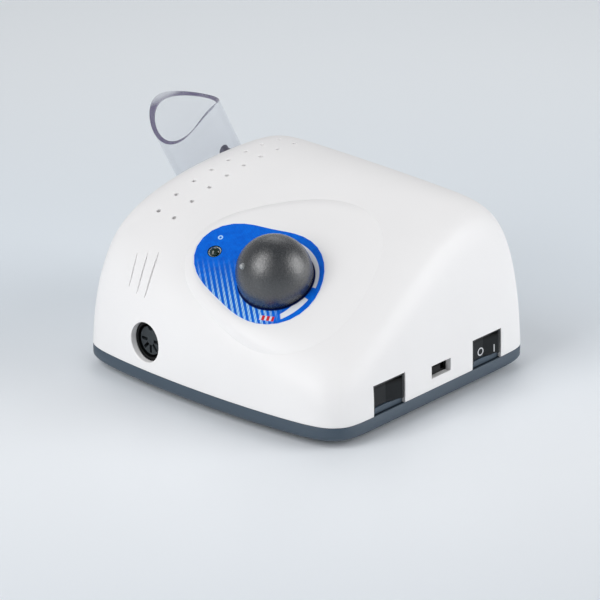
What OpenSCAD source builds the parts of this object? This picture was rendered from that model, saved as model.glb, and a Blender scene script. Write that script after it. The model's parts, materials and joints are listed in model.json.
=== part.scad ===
// Desk-top control box for a nail drill: a domed white case on a grey tray, a sloped control
// pad with a speed knob and a pilot lamp, three switches on the right wall, a round five-pin
// motor socket in front and a clear tube on the left that holds the handpiece.
// Millimetres. X is right seen from the front, Y runs to the rear, Z is up. The origin is on
// the table, under the middle of the case.

/* [Case] */
// Width of the case at the parting line
case_w = 133.6; // [126:0.2:142]
// Reach of the front corners ahead of the middle
front_reach = 58.3; // [55:0.1:62]
// How far the front bows out in the middle
front_bow = 5.9; // [1:0.1:9]
// Reach of the rear wall behind the middle
rear_reach = 57.2; // [56:0.1:62]
// Height of the front arch above the parting line
arch_h = 68.6; // [65:0.2:74]
// Roundness of the front arch, where 2 is an ellipse
arch_power = 2.7; // [2.4:0.1:3.2]
// Height of the sloping top above the parting line
top_h = 60.1; // [58:0.1:64]
// Rise of the top towards the rear, in degrees
top_rise = 13.8; // [11:0.1:16]
// Fall of the top towards the right, in degrees
top_roll = 6.2; // [4:0.1:8]
// Inward lean of the left wall, in degrees
left_draft = 7; // [5:0.5:9]
// Inward curve of the right wall, which is upright at the parting line
right_curve = 0.0024; // [0.002:0.0001:0.003]
// Inward lean of the rear wall, in degrees
rear_draft = 4.3; // [3:0.1:6]
// Distance of the sloped front facet from the middle of the parting line
facet_reach = 57.6; // [56:0.1:60]
// Lean of the facet's normal above the horizontal, in degrees
facet_lean = 55.7; // [53:0.1:58]
// Turn of the facet towards the right, in degrees
facet_turn = 24.6; // [22:0.1:27]
// Sharpness of the edges between the walls
edge_power = 13.7; // [10:0.1:18]
// Sharpness of the edge over the rear wall
rear_power = 4.5; // [4:0.1:7]
// Wall of the upper shell
wall = 2.4; // [2:0.1:3]

/* [Tray and feet] */
// Height of the rubber feet
foot_h = 2.5; // [2:0.1:4]
// Radius of a foot
foot_r = 6.5; // [5:0.1:8]
// Height of the tray from its underside to the parting line
tray_h = 6; // [5:0.1:8]
// Thickness of the tray floor
tray_floor = 2; // [1.6:0.1:2.6]
// Radius of the rounded lower edge
tray_round = 4; // [2:0.1:4.5]
// Height of the locating lip above the parting line
lip_h = 2.5; // [1.5:0.1:3]
// Thickness of the lip
lip_w = 1.6; // [1.2:0.1:2.2]
// Distance of the feet from the middle, sideways
foot_x = 40; // [34:0.5:46]
// Distance of the feet from the middle, front to rear
foot_y = 37; // [30:0.5:40]
// Distance of the case screws inside the side walls
screw_side_inset = 12.8; // [12.4:0.1:15]
// Distance of the case screws inside the front corners and the rear wall
screw_end_inset = 13.3; // [12.8:0.1:15]

/* [Control pad] */
// Direction of the knob seen from above the middle, in degrees
pad_az = -64.5; // [-66:0.1:-63]
// Direction of the knob above the parting plane, in degrees
pad_el = 44.4; // [43:0.1:46]
// Slope of the pad from the horizontal, in degrees
pad_slope = 33; // [31:0.1:35]
// Turn of the pad towards the right, in degrees
pad_turn = 22; // [20:0.1:24]
// How far the flat of the pad stands above the facet
pad_rise = 0.6; // [0.4:0.05:1]
// Mean radius of the pad's outline
pad_r = 36.8; // [34:0.1:38]
// Mean radius of the printed overlay
overlay_r = 23.6; // [22:0.1:25]
// Thickness of the overlay
overlay_t = 0.35; // [0.2:0.05:0.6]
// Diameter of the pilot lamp
lamp_d = 4.5; // [3:0.5:6]
// Place of the lamp on the pad, left of the knob
lamp_x = -27.4; // [-28.5:0.1:-26]
// Place of the lamp on the pad, above the knob
lamp_y = 8.9; // [7:0.1:11]

/* [Speed knob] */
// Diameter of the knob's skirt
knob_d = 28.8; // [26:0.1:30]
// Height of the knob over the overlay
knob_h = 18.6; // [17:0.1:22]
// Height of the knob's straight side
knob_side_h = 5.6; // [4.5:0.1:7]
// Diameter of the potentiometer's shaft
shaft_d = 6; // [5:0.1:6.4]
// Diameter of the threaded bush round the shaft
bush_d = 7; // [6.8:0.1:8]
// Diameter of the potentiometer's can
pot_d = 17; // [15:0.1:20]
// Depth of the potentiometer's can
pot_depth = 8; // [6:0.1:12]

/* [Switches] */
// Width of a rocker opening, front to rear
rocker_w = 18; // [16.6:0.1:20]
// Height of a rocker opening above the parting line
rocker_h = 12.1; // [11:0.1:13]
// Height of the tray's sill under a rocker, above the parting line
sill_h = 1.8; // [1.4:0.1:2.2]
// Place of the direction rocker, front to rear
direction_y = -30; // [-32:0.1:-28]
// Place of the power rocker, front to rear
power_y = 28.6; // [26:0.1:31]
// Tilt of a rocker to each side, in degrees
rocker_tilt = 9; // [6:0.5:10]
// How deep a rocker's frame lies below the wall
rocker_sink = 0.6; // [0.4:0.1:1]
// Width of the slide switch window
slide_w = 11.5; // [10.5:0.1:13]
// Height of the slide switch window
slide_h = 5; // [4.4:0.1:6]
// Place of the slide switch, front to rear
slide_y = 0.3; // [-2:0.1:2]
// Height of the slide switch above the parting line
slide_z = 7; // [6.6:0.1:8]
// Travel of the slide
slide_travel = 4; // [2:0.5:4]

/* [Sockets] */
// Place of the motor socket, sideways
motor_x = -26.7; // [-30:0.1:-22]
// Height of the motor socket above the parting line
motor_z = 11.5; // [11.2:0.1:13]
// Diameter of the motor socket's opening
motor_d = 15.8; // [15:0.1:17]
// Place of the pedal socket on the rear wall, sideways
pedal_x = 8; // [6.5:0.1:10]
// Height of the pedal socket above the parting line
pedal_z = 16; // [14:0.1:18]
// Bore of the pedal socket
pedal_bore = 6.4; // [6.2:0.1:6.6]
// Place of the mains inlet on the rear wall, sideways
inlet_x = 36; // [34:0.1:38]
// Height of the mains inlet above the parting line
inlet_z = 20; // [18:0.1:22]

/* [Handpiece holder] */
// Outer diameter of the holder tube
tube_d = 30; // [27:0.1:32]
// Wall of the holder tube
tube_wall = 1.8; // [1.2:0.1:2.4]
// Forward lean of the tube, in degrees
tube_lean = 30; // [26:0.5:33]
// Length of the tube below the mean height of its mouth
tube_len = 60; // [54:0.5:62]
// Place of the mouth, front to rear
mouth_y = 14.7; // [12:0.1:17]
// Height of the mouth above the parting line
mouth_z = 75.2; // [72:0.1:78]
// Radius of the hollow cut across the mouth
mouth_cut_r = 17.6; // [17:0.1:20]
// Distance of the upper holder screw below the mouth
upper_screw_s = 19; // [18:0.5:22]
// Distance of the lower holder screw below the mouth
lower_screw_s = 45; // [42:0.5:47]
// Diameter of the holder screws
holder_screw_d = 3.5; // [3:0.1:4]

/* [Inside] */
// Width of the transformer core
core_w = 50; // [44:0.5:50]
// Thickness of the transformer core
core_t = 22; // [18:0.5:24]
// Height of the transformer core
core_h = 42; // [36:0.5:44]
// Place of the transformer, sideways
core_x = -28; // [-28.5:0.5:-26]
// Place of the transformer, front to rear
core_y = 20; // [16:0.5:22]
// Width of the circuit board
board_w = 40; // [38:0.5:42]
// Length of the circuit board
board_l = 64; // [62:0.5:66]
// Thickness of the circuit board
board_t = 1.6; // [1:0.1:2]
// Place of the circuit board's middle, sideways
board_x = 24; // [23:0.5:25]
// Place of the circuit board's middle, front to rear
board_y = 10; // [8:0.5:11]
// Height of the board's standoffs over the tray floor
standoff_h = 7; // [5:0.5:8]
// Diameter of the filter capacitor
capacitor_d = 18; // [14:0.5:19]
// Height of the filter capacitor
capacitor_h = 31; // [20:0.5:34]
// Height of the heat sink
sink_h = 30; // [20:0.5:32]

/* [Clearances] */
// Gap round a piece that seats in an opening
seat_gap = 0.2; // [0.1:0.05:0.3]
// Gap round a turning pin or shaft
run_gap = 0.05; // [0.03:0.01:0.1]
// Gap between pieces that move past each other
move_gap = 0.4; // [0.3:0.05:0.6]

/* [Hidden] */
$fn = 64;
half_w = case_w / 2;
tray_z = foot_h;
seam_z = tray_z + tray_h;
floor_z = tray_z + tray_floor;
eps = 0.01;
// Steps of the case's grid, round the middle and up to the crown
az_steps = 60;
el_steps = 13;
// How strongly the grid gathers at the corners
az_gather = 0.55;
el_gather = 0.45;
facet_n = [cos(facet_lean) * sin(facet_turn), -cos(facet_lean) * cos(facet_turn), sin(facet_lean)];

// A direction from its angle round the middle and its angle above the parting plane
function dir(a, e) = [cos(e) * cos(a), cos(e) * sin(a), sin(e)];
// One over the distance along n to a flat wall with normal v at distance d
function toward(n, v, d) = max(n * v, 0) / d;
// The same for a wall that stands at x = d and curves inwards with height: x = d - c z z
function toward_curve(x, z, d, c) = (x + sqrt(x * x + 4 * c * d * z * z)) / (2 * d);
// Rounded meeting of walls: a high power gives a tight edge
function blend(v, p) = pow([for (x = v) pow(x, p)] * [for (x = v) 1], 1 / p);
// Bow of the front wall across the width, as a reach ahead of the middle
function front_at(x) = front_reach + front_bow * (1 - pow(min(1, abs(x) / half_w), 2));

// Distance from the middle of the parting plane to the case's surface along n, inset by s
function case_reach(n, s) =
    let (
        right = toward_curve(n.x, n.z, half_w - s, right_curve),
        side = cos(left_draft),
        left = toward(n, [-side, 0, sin(left_draft)], half_w * side - s),
        rear = toward(n, [0, cos(rear_draft), sin(rear_draft)], rear_reach * cos(rear_draft) - s),
        bow = front_at(abs(n.x) / max(abs(n.y), 0.001) * front_reach) - s,
        front = blend([max(-n.y, 0) / bow, n.z / (arch_h - s)], arch_power),
        top_n = [sin(top_roll), -sin(top_rise) * cos(top_roll), cos(top_rise) * cos(top_roll)],
        back = blend([rear, toward(n, top_n, top_h - s)], rear_power),
        facet = toward(n, facet_n, facet_reach - s)
    )
    1 / blend([right, left, front, back, facet], edge_power);
function case_point(a, e, s) = [0, 0, seam_z] + dir(a, e) * case_reach(dir(a, e), s);

// Grid angles, gathered where the plan has its corners and where the shoulders turn
function grid_az(i) = let (u = 360 * i / az_steps) u + az_gather / 4 * 180 / PI * sin(4 * u);
function grid_el(j) = let (v = 90 * j / el_steps) v + el_gather / 4 * 180 / PI * sin(4 * v);
function case_ring(j, s) = [for (i = [0:az_steps - 1]) case_point(grid_az(i), grid_el(j), s)];
function plan_ring(z, s) =
    [for (i = [0:az_steps - 1]) let (p = case_point(grid_az(i), 0, s)) [p.x, p.y, z]];

// Corners of the triangles between ring j and ring j + 1 of n points each
function band(j, n) = [
    for (i = [0:n - 1])
        let (a = j * n + i, b = j * n + (i + 1) % n)
        each [[a, a + n, b + n], [a, b + n, b]]
];
// Closed body through a list of rings, from a lower middle point to an upper one
module loft(rings, lower, upper) {
    n = len(rings[0]);
    m = len(rings);
    points = concat([for (r = rings) each r], [lower, upper]);
    sides = [for (j = [0:m - 2]) each band(j, n)];
    bottom = [for (i = [0:n - 1]) [i, (i + 1) % n, n * m]];
    top = [for (i = [0:n - 1]) [(m - 1) * n + (i + 1) % n, (m - 1) * n + i, n * m + 1]];
    polyhedron(points, concat(sides, bottom, top), convexity = 8);
}

// Bare dome of the upper shell: outer rings up to the crown and inner rings down again
module dome() {
    n = az_steps;
    m = el_steps;
    outer = [for (j = [0:m - 1]) each case_ring(j, 0)];
    inner = [for (j = [0:m - 1]) each case_ring(j, wall)];
    crown = case_point(0, 90, 0);
    ceiling = case_point(0, 90, wall);
    points = concat(outer, [crown], inner, [ceiling]);
    k = n * m + 1;
    skin = [for (j = [0:m - 2]) each band(j, n)];
    lining = [for (f = skin) [f[0] + k, f[2] + k, f[1] + k]];
    cap = [for (i = [0:n - 1]) [(m - 1) * n + i, n * m, (m - 1) * n + (i + 1) % n]];
    roof = [for (f = cap) [f[0] + k, f[2] + k, f[1] + k]];
    rim = [for (i = [0:n - 1]) let (b = (i + 1) % n) each [[i, b, b + k], [i, b + k, i + k]]];
    polyhedron(points, concat(skin, lining, cap, roof, rim), convexity = 8);
}

// Frames: the pad, with Z out of it, and places on the walls
pad_point = case_point(pad_az, pad_el, 0);
pad_n = [sin(pad_slope) * sin(pad_turn), -sin(pad_slope) * cos(pad_turn), cos(pad_slope)];
pad_origin = pad_point + pad_rise * pad_n;
module on_pad() {
    translate(pad_origin) rotate([pad_slope, 0, pad_turn]) children();
}
function left_x(z) = half_w - tan(left_draft) * z;
function right_x(z) = half_w - right_curve * z * z;
function right_lean(z) = atan(2 * right_curve * z);
function wall_y(z) = rear_reach - tan(rear_draft) * z;
// X out of the right wall, at height z over the parting line
module on_right(y, z) {
    translate([right_x(z), y, seam_z + z]) rotate([0, -right_lean(z), 0]) children();
}
// Y out of the rear wall
module on_rear(x, z) {
    translate([x, wall_y(z), seam_z + z]) rotate([rear_draft, 0, 0]) children();
}
// Minus Y out of the front wall
motor_turn = atan(2 * front_bow * motor_x / (half_w * half_w));
module on_front(x, z) {
    translate([x, -front_at(x), seam_z + z]) rotate([0, 0, motor_turn]) children();
}
module each_corner(x, y) {
    for (sx = [-1, 1]) for (sy = [-1, 1]) translate([sx * x, sy * y, 0]) children();
}
// A bar along an axis, centred on that axis
module along_x(r, h) { rotate([0, 90, 0]) cylinder(r = r, h = h, center = true); }
module along_y(r, h) { rotate([90, 0, 0]) cylinder(r = r, h = h, center = true); }
module block(x0, x1, y0, y1, z0, z1) { translate([x0, y0, z0]) cube([x1 - x0, y1 - y0, z1 - z0]); }

// Outlines on the pad: three soft lobes for the pad, an egg for the overlay
pad_mid = [0, 6];
overlay_mid = [-9, 2];
function pad_edge(t) =
    pad_mid + (pad_r + 2.9 * cos(3 * (t - 55)) + 1.8 * cos(t - 50)) * [cos(t), sin(t)];
function overlay_edge(t, grow) =
    let (
        egg = 2 * cos(t - 30) + 4 * cos(2 * (t + 26)),
        r = overlay_r + egg + 1.3 * cos(3 * (t - 39)) - 0.5 * cos(4 * (t - 3))
    )
    overlay_mid + (r + grow) * [cos(t), sin(t)];
outline_steps = 40;
function outline_angle(i) = 360 * i / outline_steps;
// How far the facet has fallen away below the pad's flat at a place on it
function pad_fall(p) = 0.0005 * p.x * p.x + 0.0037 * p.y * p.y + 0.4;
overlay_margin = 0.8;
pad_root = 2;
// The pad's ring at share b of the way from the overlay's edge to the pad's own edge
function pad_ring(b, drop) = [
    for (i = [0:outline_steps - 1])
        let (
            t = outline_angle(i),
            p = (1 - b) * overlay_edge(t, overlay_margin) + b * pad_edge(t),
            z = -pad_fall(p) * pow(b, 1.6) - drop
        )
        [p.x, p.y, z]
];
module control_pad() {
    rings = concat([pad_ring(1, pad_root)], [for (b = [1, 0.85, 0.65, 0.4, 0]) pad_ring(b, 0)]);
    on_pad() loft(rings, [overlay_mid.x, overlay_mid.y, -pad_root], [overlay_mid.x, overlay_mid.y, 0]);
}
// Depth of the shell's inner face below the pad's flat
pad_depth = pad_rise + wall;

// Vent holes: two rows on the left shoulder
vent_d = 1.8;
vent_count = 8;
vent_pitch = 9.9;
vent_start = -36.6;
vent_inset = [22.5, 30.8];
module vents() {
    for (inset = vent_inset) for (k = [0:vent_count - 1])
        translate([inset - half_w, vent_start + k * vent_pitch, seam_z + arch_h / 2])
            cylinder(d = vent_d, h = arch_h, $fn = 24);
}
// Three narrow grooves over the motor socket, each an arc that follows the front arch
groove_w = 0.7;
groove_depth = 0.7;
groove_bend = 44;
groove_lean = 6.5;
// Middle of each groove over the parting plane, its slope from the vertical, its length
groove_place = [[-38.3, -57.1, 35.7], [-33.4, -57.3, 35.5], [-28.8, -56.6, 36.5]];
groove_slope = [28.5, 30, 35];
groove_len = [13.4, 16.3, 18];
module grooves() {
    for (k = [0:len(groove_place) - 1])
        translate(groove_place[k] + [0, 0, seam_z])
            rotate([0, -groove_lean, 0])
                rotate([-groove_slope[k], 0, 0])
                    translate([0, groove_bend, 0])
                        rotate([90, 0, 90])
                            groove(groove_len[k] / groove_bend * 180 / PI);
}
module groove(sweep) {
    rotate([0, 0, 180 - sweep / 2])
        rotate_extrude(angle = sweep)
            translate([groove_bend, 0]) square([2 * groove_depth, groove_w], center = true);
}

// Case screws: posts in the shell, pillars in the tray
post_r = 3.8;
post_hole_r = 1.25;
post_top = 9;
post_hole_depth = post_top - 1.5;
pillar_r = 5;
screw_hole_r = 1.7;
screw_head_r = 3.3;
screw_head_h = 2.2;
pillar_z = seam_z + lip_h;
screw_x = half_w - screw_side_inset;
screw_rows = [-front_reach + screw_end_inset, rear_reach - screw_end_inset];
module each_screw() {
    for (sx = [-1, 1]) for (y = screw_rows) translate([sx * screw_x, y, 0]) children();
}
rib_t = 2;
rib_low = 11.4;
rib_high = 10;
module shell_posts() {
    for (sx = [-1, 1]) for (y = screw_rows)
        translate([sx * screw_x, y, pillar_z + seat_gap]) {
            cylinder(r = post_r, h = post_top);
            rotate([90, 0, atan2(sign(y), sx)])
                translate([0, 0, -rib_t / 2])
                    linear_extrude(rib_t)
                        polygon([[0, 0], [rib_low, 0], [rib_high, post_top], [0, post_top]]);
        }
}
module shell_post_holes() {
    each_screw()
        translate([0, 0, pillar_z - eps]) cylinder(r = post_hole_r, h = post_hole_depth, $fn = 32);
}

// Holder tube frame: Z along the tube out of its mouth, X towards the case
tube_r = tube_d / 2;
tube_low_z = mouth_z - tube_len * cos(tube_lean) - tube_r * sin(tube_lean);
tube_x = -(left_x(tube_low_z) + seat_gap + tube_r);
module on_tube() {
    translate([tube_x, mouth_y, seam_z + mouth_z]) rotate([tube_lean, 0, 0]) children();
}
module at_screw(s) {
    translate([tube_x, mouth_y + s * sin(tube_lean), seam_z + mouth_z - s * cos(tube_lean)])
        children();
}
function screw_height(s) = mouth_z - s * cos(tube_lean);
holder_screw_len = 22;
holder_head_r = 2.7;
holder_head_h = 1.5;
holder_key_r = 1.2;
holder_key_depth = 1;
boss_len = 9;
boss_r = 3.4;
upper_boss_x = 24;
lower_boss_x = 19.6;
// The upper boss stands inside the shoulder, the lower one inside the side wall
module holder_bosses() {
    for (place = [[upper_screw_s, upper_boss_x], [lower_screw_s, lower_boss_x]])
        at_screw(place[0])
            translate([place[1], 0, 0]) rotate([0, 90, 0]) cylinder(r = boss_r, h = boss_len);
}
module holder_screw_holes() {
    hole_d = holder_screw_d + 2 * run_gap;
    for (s = [upper_screw_s, lower_screw_s])
        at_screw(s)
            translate([tube_r - tube_wall - root, 0, 0])
                rotate([0, 90, 0]) cylinder(d = hole_d, h = holder_screw_len + 1.5 * root, $fn = 32);
}
// Cone under a flush screw head, with its flat on the tube's inner face
module holder_head(gap) {
    rotate([0, 90, 0])
        cylinder(r1 = holder_head_r + gap, r2 = holder_screw_d / 2 + gap, h = holder_head_h, $fn = 32);
}

module upper_shell() {
    color("white")
        difference() {
            union() {
                dome();
                control_pad();
                shell_posts();
                holder_bosses();
                socket_boss();
            }
            rocker_cuts();
            on_right(slide_y, slide_z)
                block(-3 * wall, wall, -slide_w / 2, slide_w / 2, -slide_h / 2, slide_h / 2);
            on_front(motor_x, motor_z) along_y(motor_d / 2, cut_len);
            on_rear(pedal_x, pedal_z) along_y(pedal_neck_r + seat_gap, cut_len);
            on_rear(inlet_x, inlet_z)
                cube([inlet_w + 2 * seat_gap, cut_len, inlet_h + 2 * seat_gap], center = true);
            pad_holes();
            vents();
            grooves();
            shell_post_holes();
            holder_screw_holes();
        }
}
// Length of a cut right through a wall
cut_len = 8 * wall;
// Holes for the potentiometer's bush and the lamp, through the pad and the overlay
module pad_holes() {
    on_pad() {
        cylinder(d = bush_d + 2 * seat_gap, h = cut_len, center = true);
        translate([lamp_x, lamp_y, 0])
            cylinder(d = lamp_d + 2 * seat_gap, h = cut_len, center = true);
    }
}
// Two openings in the right wall that run down to the parting line
module rocker_cuts() {
    for (y = [direction_y, power_y])
        set_rocker(y)
            block(-3 * wall, 2 * wall, -rocker_w / 2, rocker_w / 2, -rocker_h, rocker_h - rocker_z);
}

// Tray: rounded underside, flat floor and a lip that keeps the shell in place
module tray_bowl() {
    arc_steps = 4;
    under = [
        for (k = [0:arc_steps])
            let (a = 90 * k / arc_steps)
            plan_ring(tray_z + tray_round * (1 - cos(a)), tray_round * (1 - sin(a)))
    ];
    lip_in = wall + seat_gap + lip_h * tan(left_draft);
    rings = concat(under, [
        plan_ring(seam_z, 0),
        plan_ring(seam_z, lip_in),
        plan_ring(seam_z + lip_h, lip_in),
        plan_ring(seam_z + lip_h, lip_in + lip_w),
        plan_ring(floor_z, lip_in + lip_w)
    ]);
    loft(rings, [0, 0, tray_z], [0, 0, floor_z]);
}
standoff_r = 3.4;
standoff_inset = 4;
board_z = floor_z + standoff_h;
module each_standoff() {
    translate([board_x, board_y, 0])
        each_corner(board_w / 2 - standoff_inset, board_l / 2 - standoff_inset) children();
}
// Overlap of a pillar or a cut with the floor it stands on
root = 1;
small_screw_r = 1.15;
core_ear = 4.6;
core_foot_x = core_w / 2 + core_ear;
core_pad_h = 2;
core_pad_r = 4;
core_bite = 0.8;
screw_recess = screw_head_h + 0.6;
module each_core_foot() {
    for (s = [-1, 1]) translate([core_x + s * core_foot_x, core_y, 0]) children();
}
module base_tray() {
    color("slategray")
        difference() {
            union() {
                tray_bowl();
                each_rocker() rocker_sill();
                translate([0, 0, floor_z - root]) {
                    each_screw() cylinder(r = pillar_r, h = pillar_z - floor_z + root);
                    each_standoff() cylinder(r = standoff_r, h = standoff_h + root);
                    each_core_foot() cylinder(r = core_pad_r, h = core_pad_h + root);
                }
            }
            each_screw()
                translate([0, 0, tray_z - root]) {
                    cylinder(r = screw_hole_r, h = pillar_z, $fn = 32);
                    cylinder(r = screw_head_r + 2 * seat_gap, h = screw_recess + root, $fn = 32);
                }
            each_standoff()
                translate([0, 0, floor_z])
                    cylinder(r = small_screw_r + run_gap, h = standoff_h + root, $fn = 32);
            each_core_foot()
                translate([0, 0, floor_z - core_bite - seat_gap])
                    cylinder(r = small_screw_r + run_gap, h = core_pad_h + tray_h, $fn = 32);
            each_rocker() rocker_pocket();
            on_front(motor_x, motor_z)
                translate([0, socket_seat, 0]) along_y(socket_boss_r + seat_gap, 2 * socket_seat);
        }
}
// Under a rocker switch the lip drops to a sill, set back from the rim behind a narrow groove
sill_front = 1.4;
sill_back = 4.4;
sill_groove = 0.6;
pocket_reach = 6;
module each_rocker() {
    for (y = [direction_y, power_y]) translate([half_w, y, seam_z]) children();
}
// The sill's edge stands up before the frame's lower bar and falls off under the rear half
sill_edge_t = 1;
sill_edge_rise = 0.7;
module rocker_sill() {
    half = rocker_w / 2 - seat_gap;
    edge = half - frame_t - seat_gap;
    top = sill_h + sill_edge_rise;
    block(-sill_back, -sill_front - sill_edge_t / 2, -half, half, -root, sill_h);
    translate([-sill_front - sill_edge_t, 0, 0])
        rotate([90, 0, 90])
            linear_extrude(sill_edge_t)
                polygon([
                    [-half, -root], [half, -root], [half, sill_h],
                    [0, top], [-edge, top], [-edge, sill_h], [-half, sill_h]
                ]);
}
module rocker_pocket() {
    half = rocker_w / 2 + flange_y + 3 * seat_gap;
    block(-pocket_reach, -sill_front - sill_edge_t, -half, half, sill_h, lip_h + root);
    block(-sill_front, sill_groove - sill_front, -rocker_w / 2, rocker_w / 2, -2 * sill_groove, root);
}
foot_edge = 1;
module rubber_feet() {
    color("dimgray")
        each_corner(foot_x, foot_y)
            rotate_extrude()
                polygon([
                    [0, 0], [foot_r - foot_edge, 0], [foot_r, foot_edge], [foot_r, foot_h], [0, foot_h]
                ]);
}
module case_screws() {
    head_z = tray_z + screw_recess - screw_head_h;
    tip_z = pillar_z + post_hole_depth - 2 * seat_gap;
    color("silver")
        each_screw() {
            difference() {
                translate([0, 0, head_z]) cylinder(r = screw_head_r, h = screw_head_h, $fn = 32);
                translate([0, 0, head_z - root])
                    cylinder(r = screw_head_r / 2, h = screw_head_h / 2 + root, $fn = 6);
            }
            translate([0, 0, head_z + screw_head_h])
                cylinder(r = post_hole_r - run_gap, h = tip_z - head_z - screw_head_h, $fn = 32);
        }
}

// Printed overlay, pilot lamp and speed control
module panel_overlay() {
    color("royalblue")
        difference() {
            on_pad()
                linear_extrude(overlay_t)
                    polygon([for (i = [0:outline_steps - 1]) overlay_edge(outline_angle(i), 0)]);
            pad_holes();
        }
}
lamp_tip = 1.6;
lamp_rim = 0.6;
lamp_rim_t = 1;
lamp_sink = 1;
module pilot_lamp() {
    r = lamp_d / 2;
    rim = -pad_depth - lamp_sink;
    base = rim - lamp_rim_t;
    color("darkgreen")
        on_pad()
            translate([lamp_x, lamp_y, 0])
                rotate_extrude()
                    polygon(concat(
                        [[0, base], [r + lamp_rim, base], [r + lamp_rim, rim], [r, rim]],
                        [for (a = [0:15:90]) [r * cos(a), lamp_tip - r + r * sin(a)]]
                    ));
}
knob_gap = 0.3;
knob_base = overlay_t + knob_gap;
knob_r = knob_d / 2;
knob_edge = 0.6;
knob_skin = 2.2;
knob_neck_r = knob_r - 0.5;
hub_r = 5.5;
hub_lift = 3.6;
shaft_top = 13;
pointer_lean = 48;
pointer_angle = 217;
pointer_r = 1.4;
// Side of the knob, then a quarter ellipse over to the crown
module speed_knob() {
    dome_h = knob_h - knob_side_h;
    hollow_r = knob_r - knob_skin;
    color("dimgray")
        on_pad()
            difference() {
                union() {
                    rotate_extrude($fn = 96)
                        polygon(concat(
                            [[0, knob_base], [knob_r - knob_edge, knob_base],
                                [knob_r, knob_base + knob_edge]],
                            [for (a = [0:9:90])
                                [knob_neck_r * cos(a), knob_side_h + dome_h * sin(a)]]
                        ));
                    rotate([0, 0, pointer_angle])
                        translate([knob_neck_r * sin(pointer_lean), 0, 0])
                            translate([0, 0, knob_side_h + dome_h * cos(pointer_lean)])
                                sphere(r = pointer_r, $fn = 24);
                }
                rotate_extrude()
                    polygon([
                        [hub_r, 0], [hollow_r, 0],
                        [hollow_r - knob_edge, knob_side_h], [hub_r, knob_side_h]
                    ]);
                translate([0, 0, -root]) {
                    cylinder(r = hub_r + eps, h = knob_base + hub_lift + root);
                    cylinder(d = shaft_d + 2 * run_gap, h = shaft_top + seat_gap + root);
                }
            }
}
pot_face = -pad_depth - 0.5;
bush_top = 3;
// How far the shaft runs down into the can
shaft_root = 4;
pot_lug = 2;
pot_tab_w = 1.6;
pot_tab_l = 6;
pot_tab_t = 0.8;
pot_tab_pitch = 5;
pot_nut_d = 11;
pot_nut_h = 2;
module potentiometer_shaft() {
    color("lightgray")
        on_pad()
            translate([0, 0, pot_face - shaft_root])
                cylinder(d = shaft_d, h = shaft_top - pot_face + shaft_root);
}
module potentiometer_body() {
    color("silver")
        on_pad()
            difference() {
                union() {
                    translate([0, 0, pot_face - pot_depth]) cylinder(d = pot_d, h = pot_depth);
                    translate([0, 0, pot_face - eps]) cylinder(d = bush_d, h = bush_top - pot_face);
                    block(-pot_d / 2, pot_d / 2, -pot_d / 2 - pot_lug, -pot_lug,
                        pot_face - 1.5 * pot_lug, pot_face - 0.5 * pot_lug);
                }
                translate([0, 0, pot_face - shaft_root - seat_gap])
                    cylinder(d = shaft_d + 2 * run_gap, h = shaft_top + pot_depth);
            }
}
module potentiometer_terminals() {
    color("goldenrod")
        on_pad()
            for (k = [-1, 0, 1])
                translate([k * pot_tab_pitch, -pot_d / 2 - pot_lug - pot_tab_l / 2, pot_face - pot_lug])
                    cube([pot_tab_w, pot_tab_l, pot_tab_t], center = true);
}
module potentiometer_nut() {
    color("silver")
        on_pad()
            difference() {
                translate([0, 0, overlay_t]) cylinder(d = pot_nut_d, h = pot_nut_h, $fn = 6);
                cylinder(d = bush_d + 2 * run_gap, h = cut_len, center = true);
            }
}

// Rocker switches. In the frame of the wall, X is out, and the rocker turns about Z.
frame_half_y = rocker_w / 2 - seat_gap;
rocker_z = (rocker_h + sill_h) / 2;
frame_half_z = (rocker_h - sill_h) / 2 - seat_gap;
frame_t = 1;
frame_thin = 0.7;
well_y = frame_half_y - frame_t;
well_z = frame_half_z - frame_thin;
well_depth = 4.4;
// A rocker's ends swing past the frame, its sides slide along it
rocker_end_gap = 0.9;
rocker_side_gap = 0.3;
rocker_half_y = well_y - rocker_end_gap;
rocker_half_z = well_z - rocker_side_gap;
face_set = 1;
rocker_face = -rocker_sink - face_set;
pivot_set = 3;
pivot_x = rocker_face - pivot_set;
pivot_r = 1.4;
body_back = -16;
// The flange keeps clear of the wall where it bends into the front corner
flange_x = -wall - 0.7;
flange_t = 1.4;
flange_y = 1.4;
flange_up = 1.4;
// How far the frame's lower bar stands back, so that the sill shows under the rocker
bar_set = 2;
terminal_len = 5;
terminal_t = 0.8;
terminal_w = 4.8;
terminal_pitch = 5.5;
module rocker_body() {
    difference() {
        union() {
            block(body_back, -rocker_sink, -frame_half_y, frame_half_y, -frame_half_z, frame_half_z);
            block(flange_x - flange_t, flange_x, -frame_half_y - flange_y, frame_half_y + flange_y,
                -frame_half_z, frame_half_z + flange_up);
        }
        block(pivot_x - well_depth, root, -well_y, well_y, -well_z, well_z);
        block(-rocker_sink - bar_set, root, -well_y, well_y, -rocker_h, 0);
        translate([pivot_x, 0, 0])
            cylinder(r = pivot_r + run_gap, h = 2 * frame_half_z + root, center = true, $fn = 32);
    }
}
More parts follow.
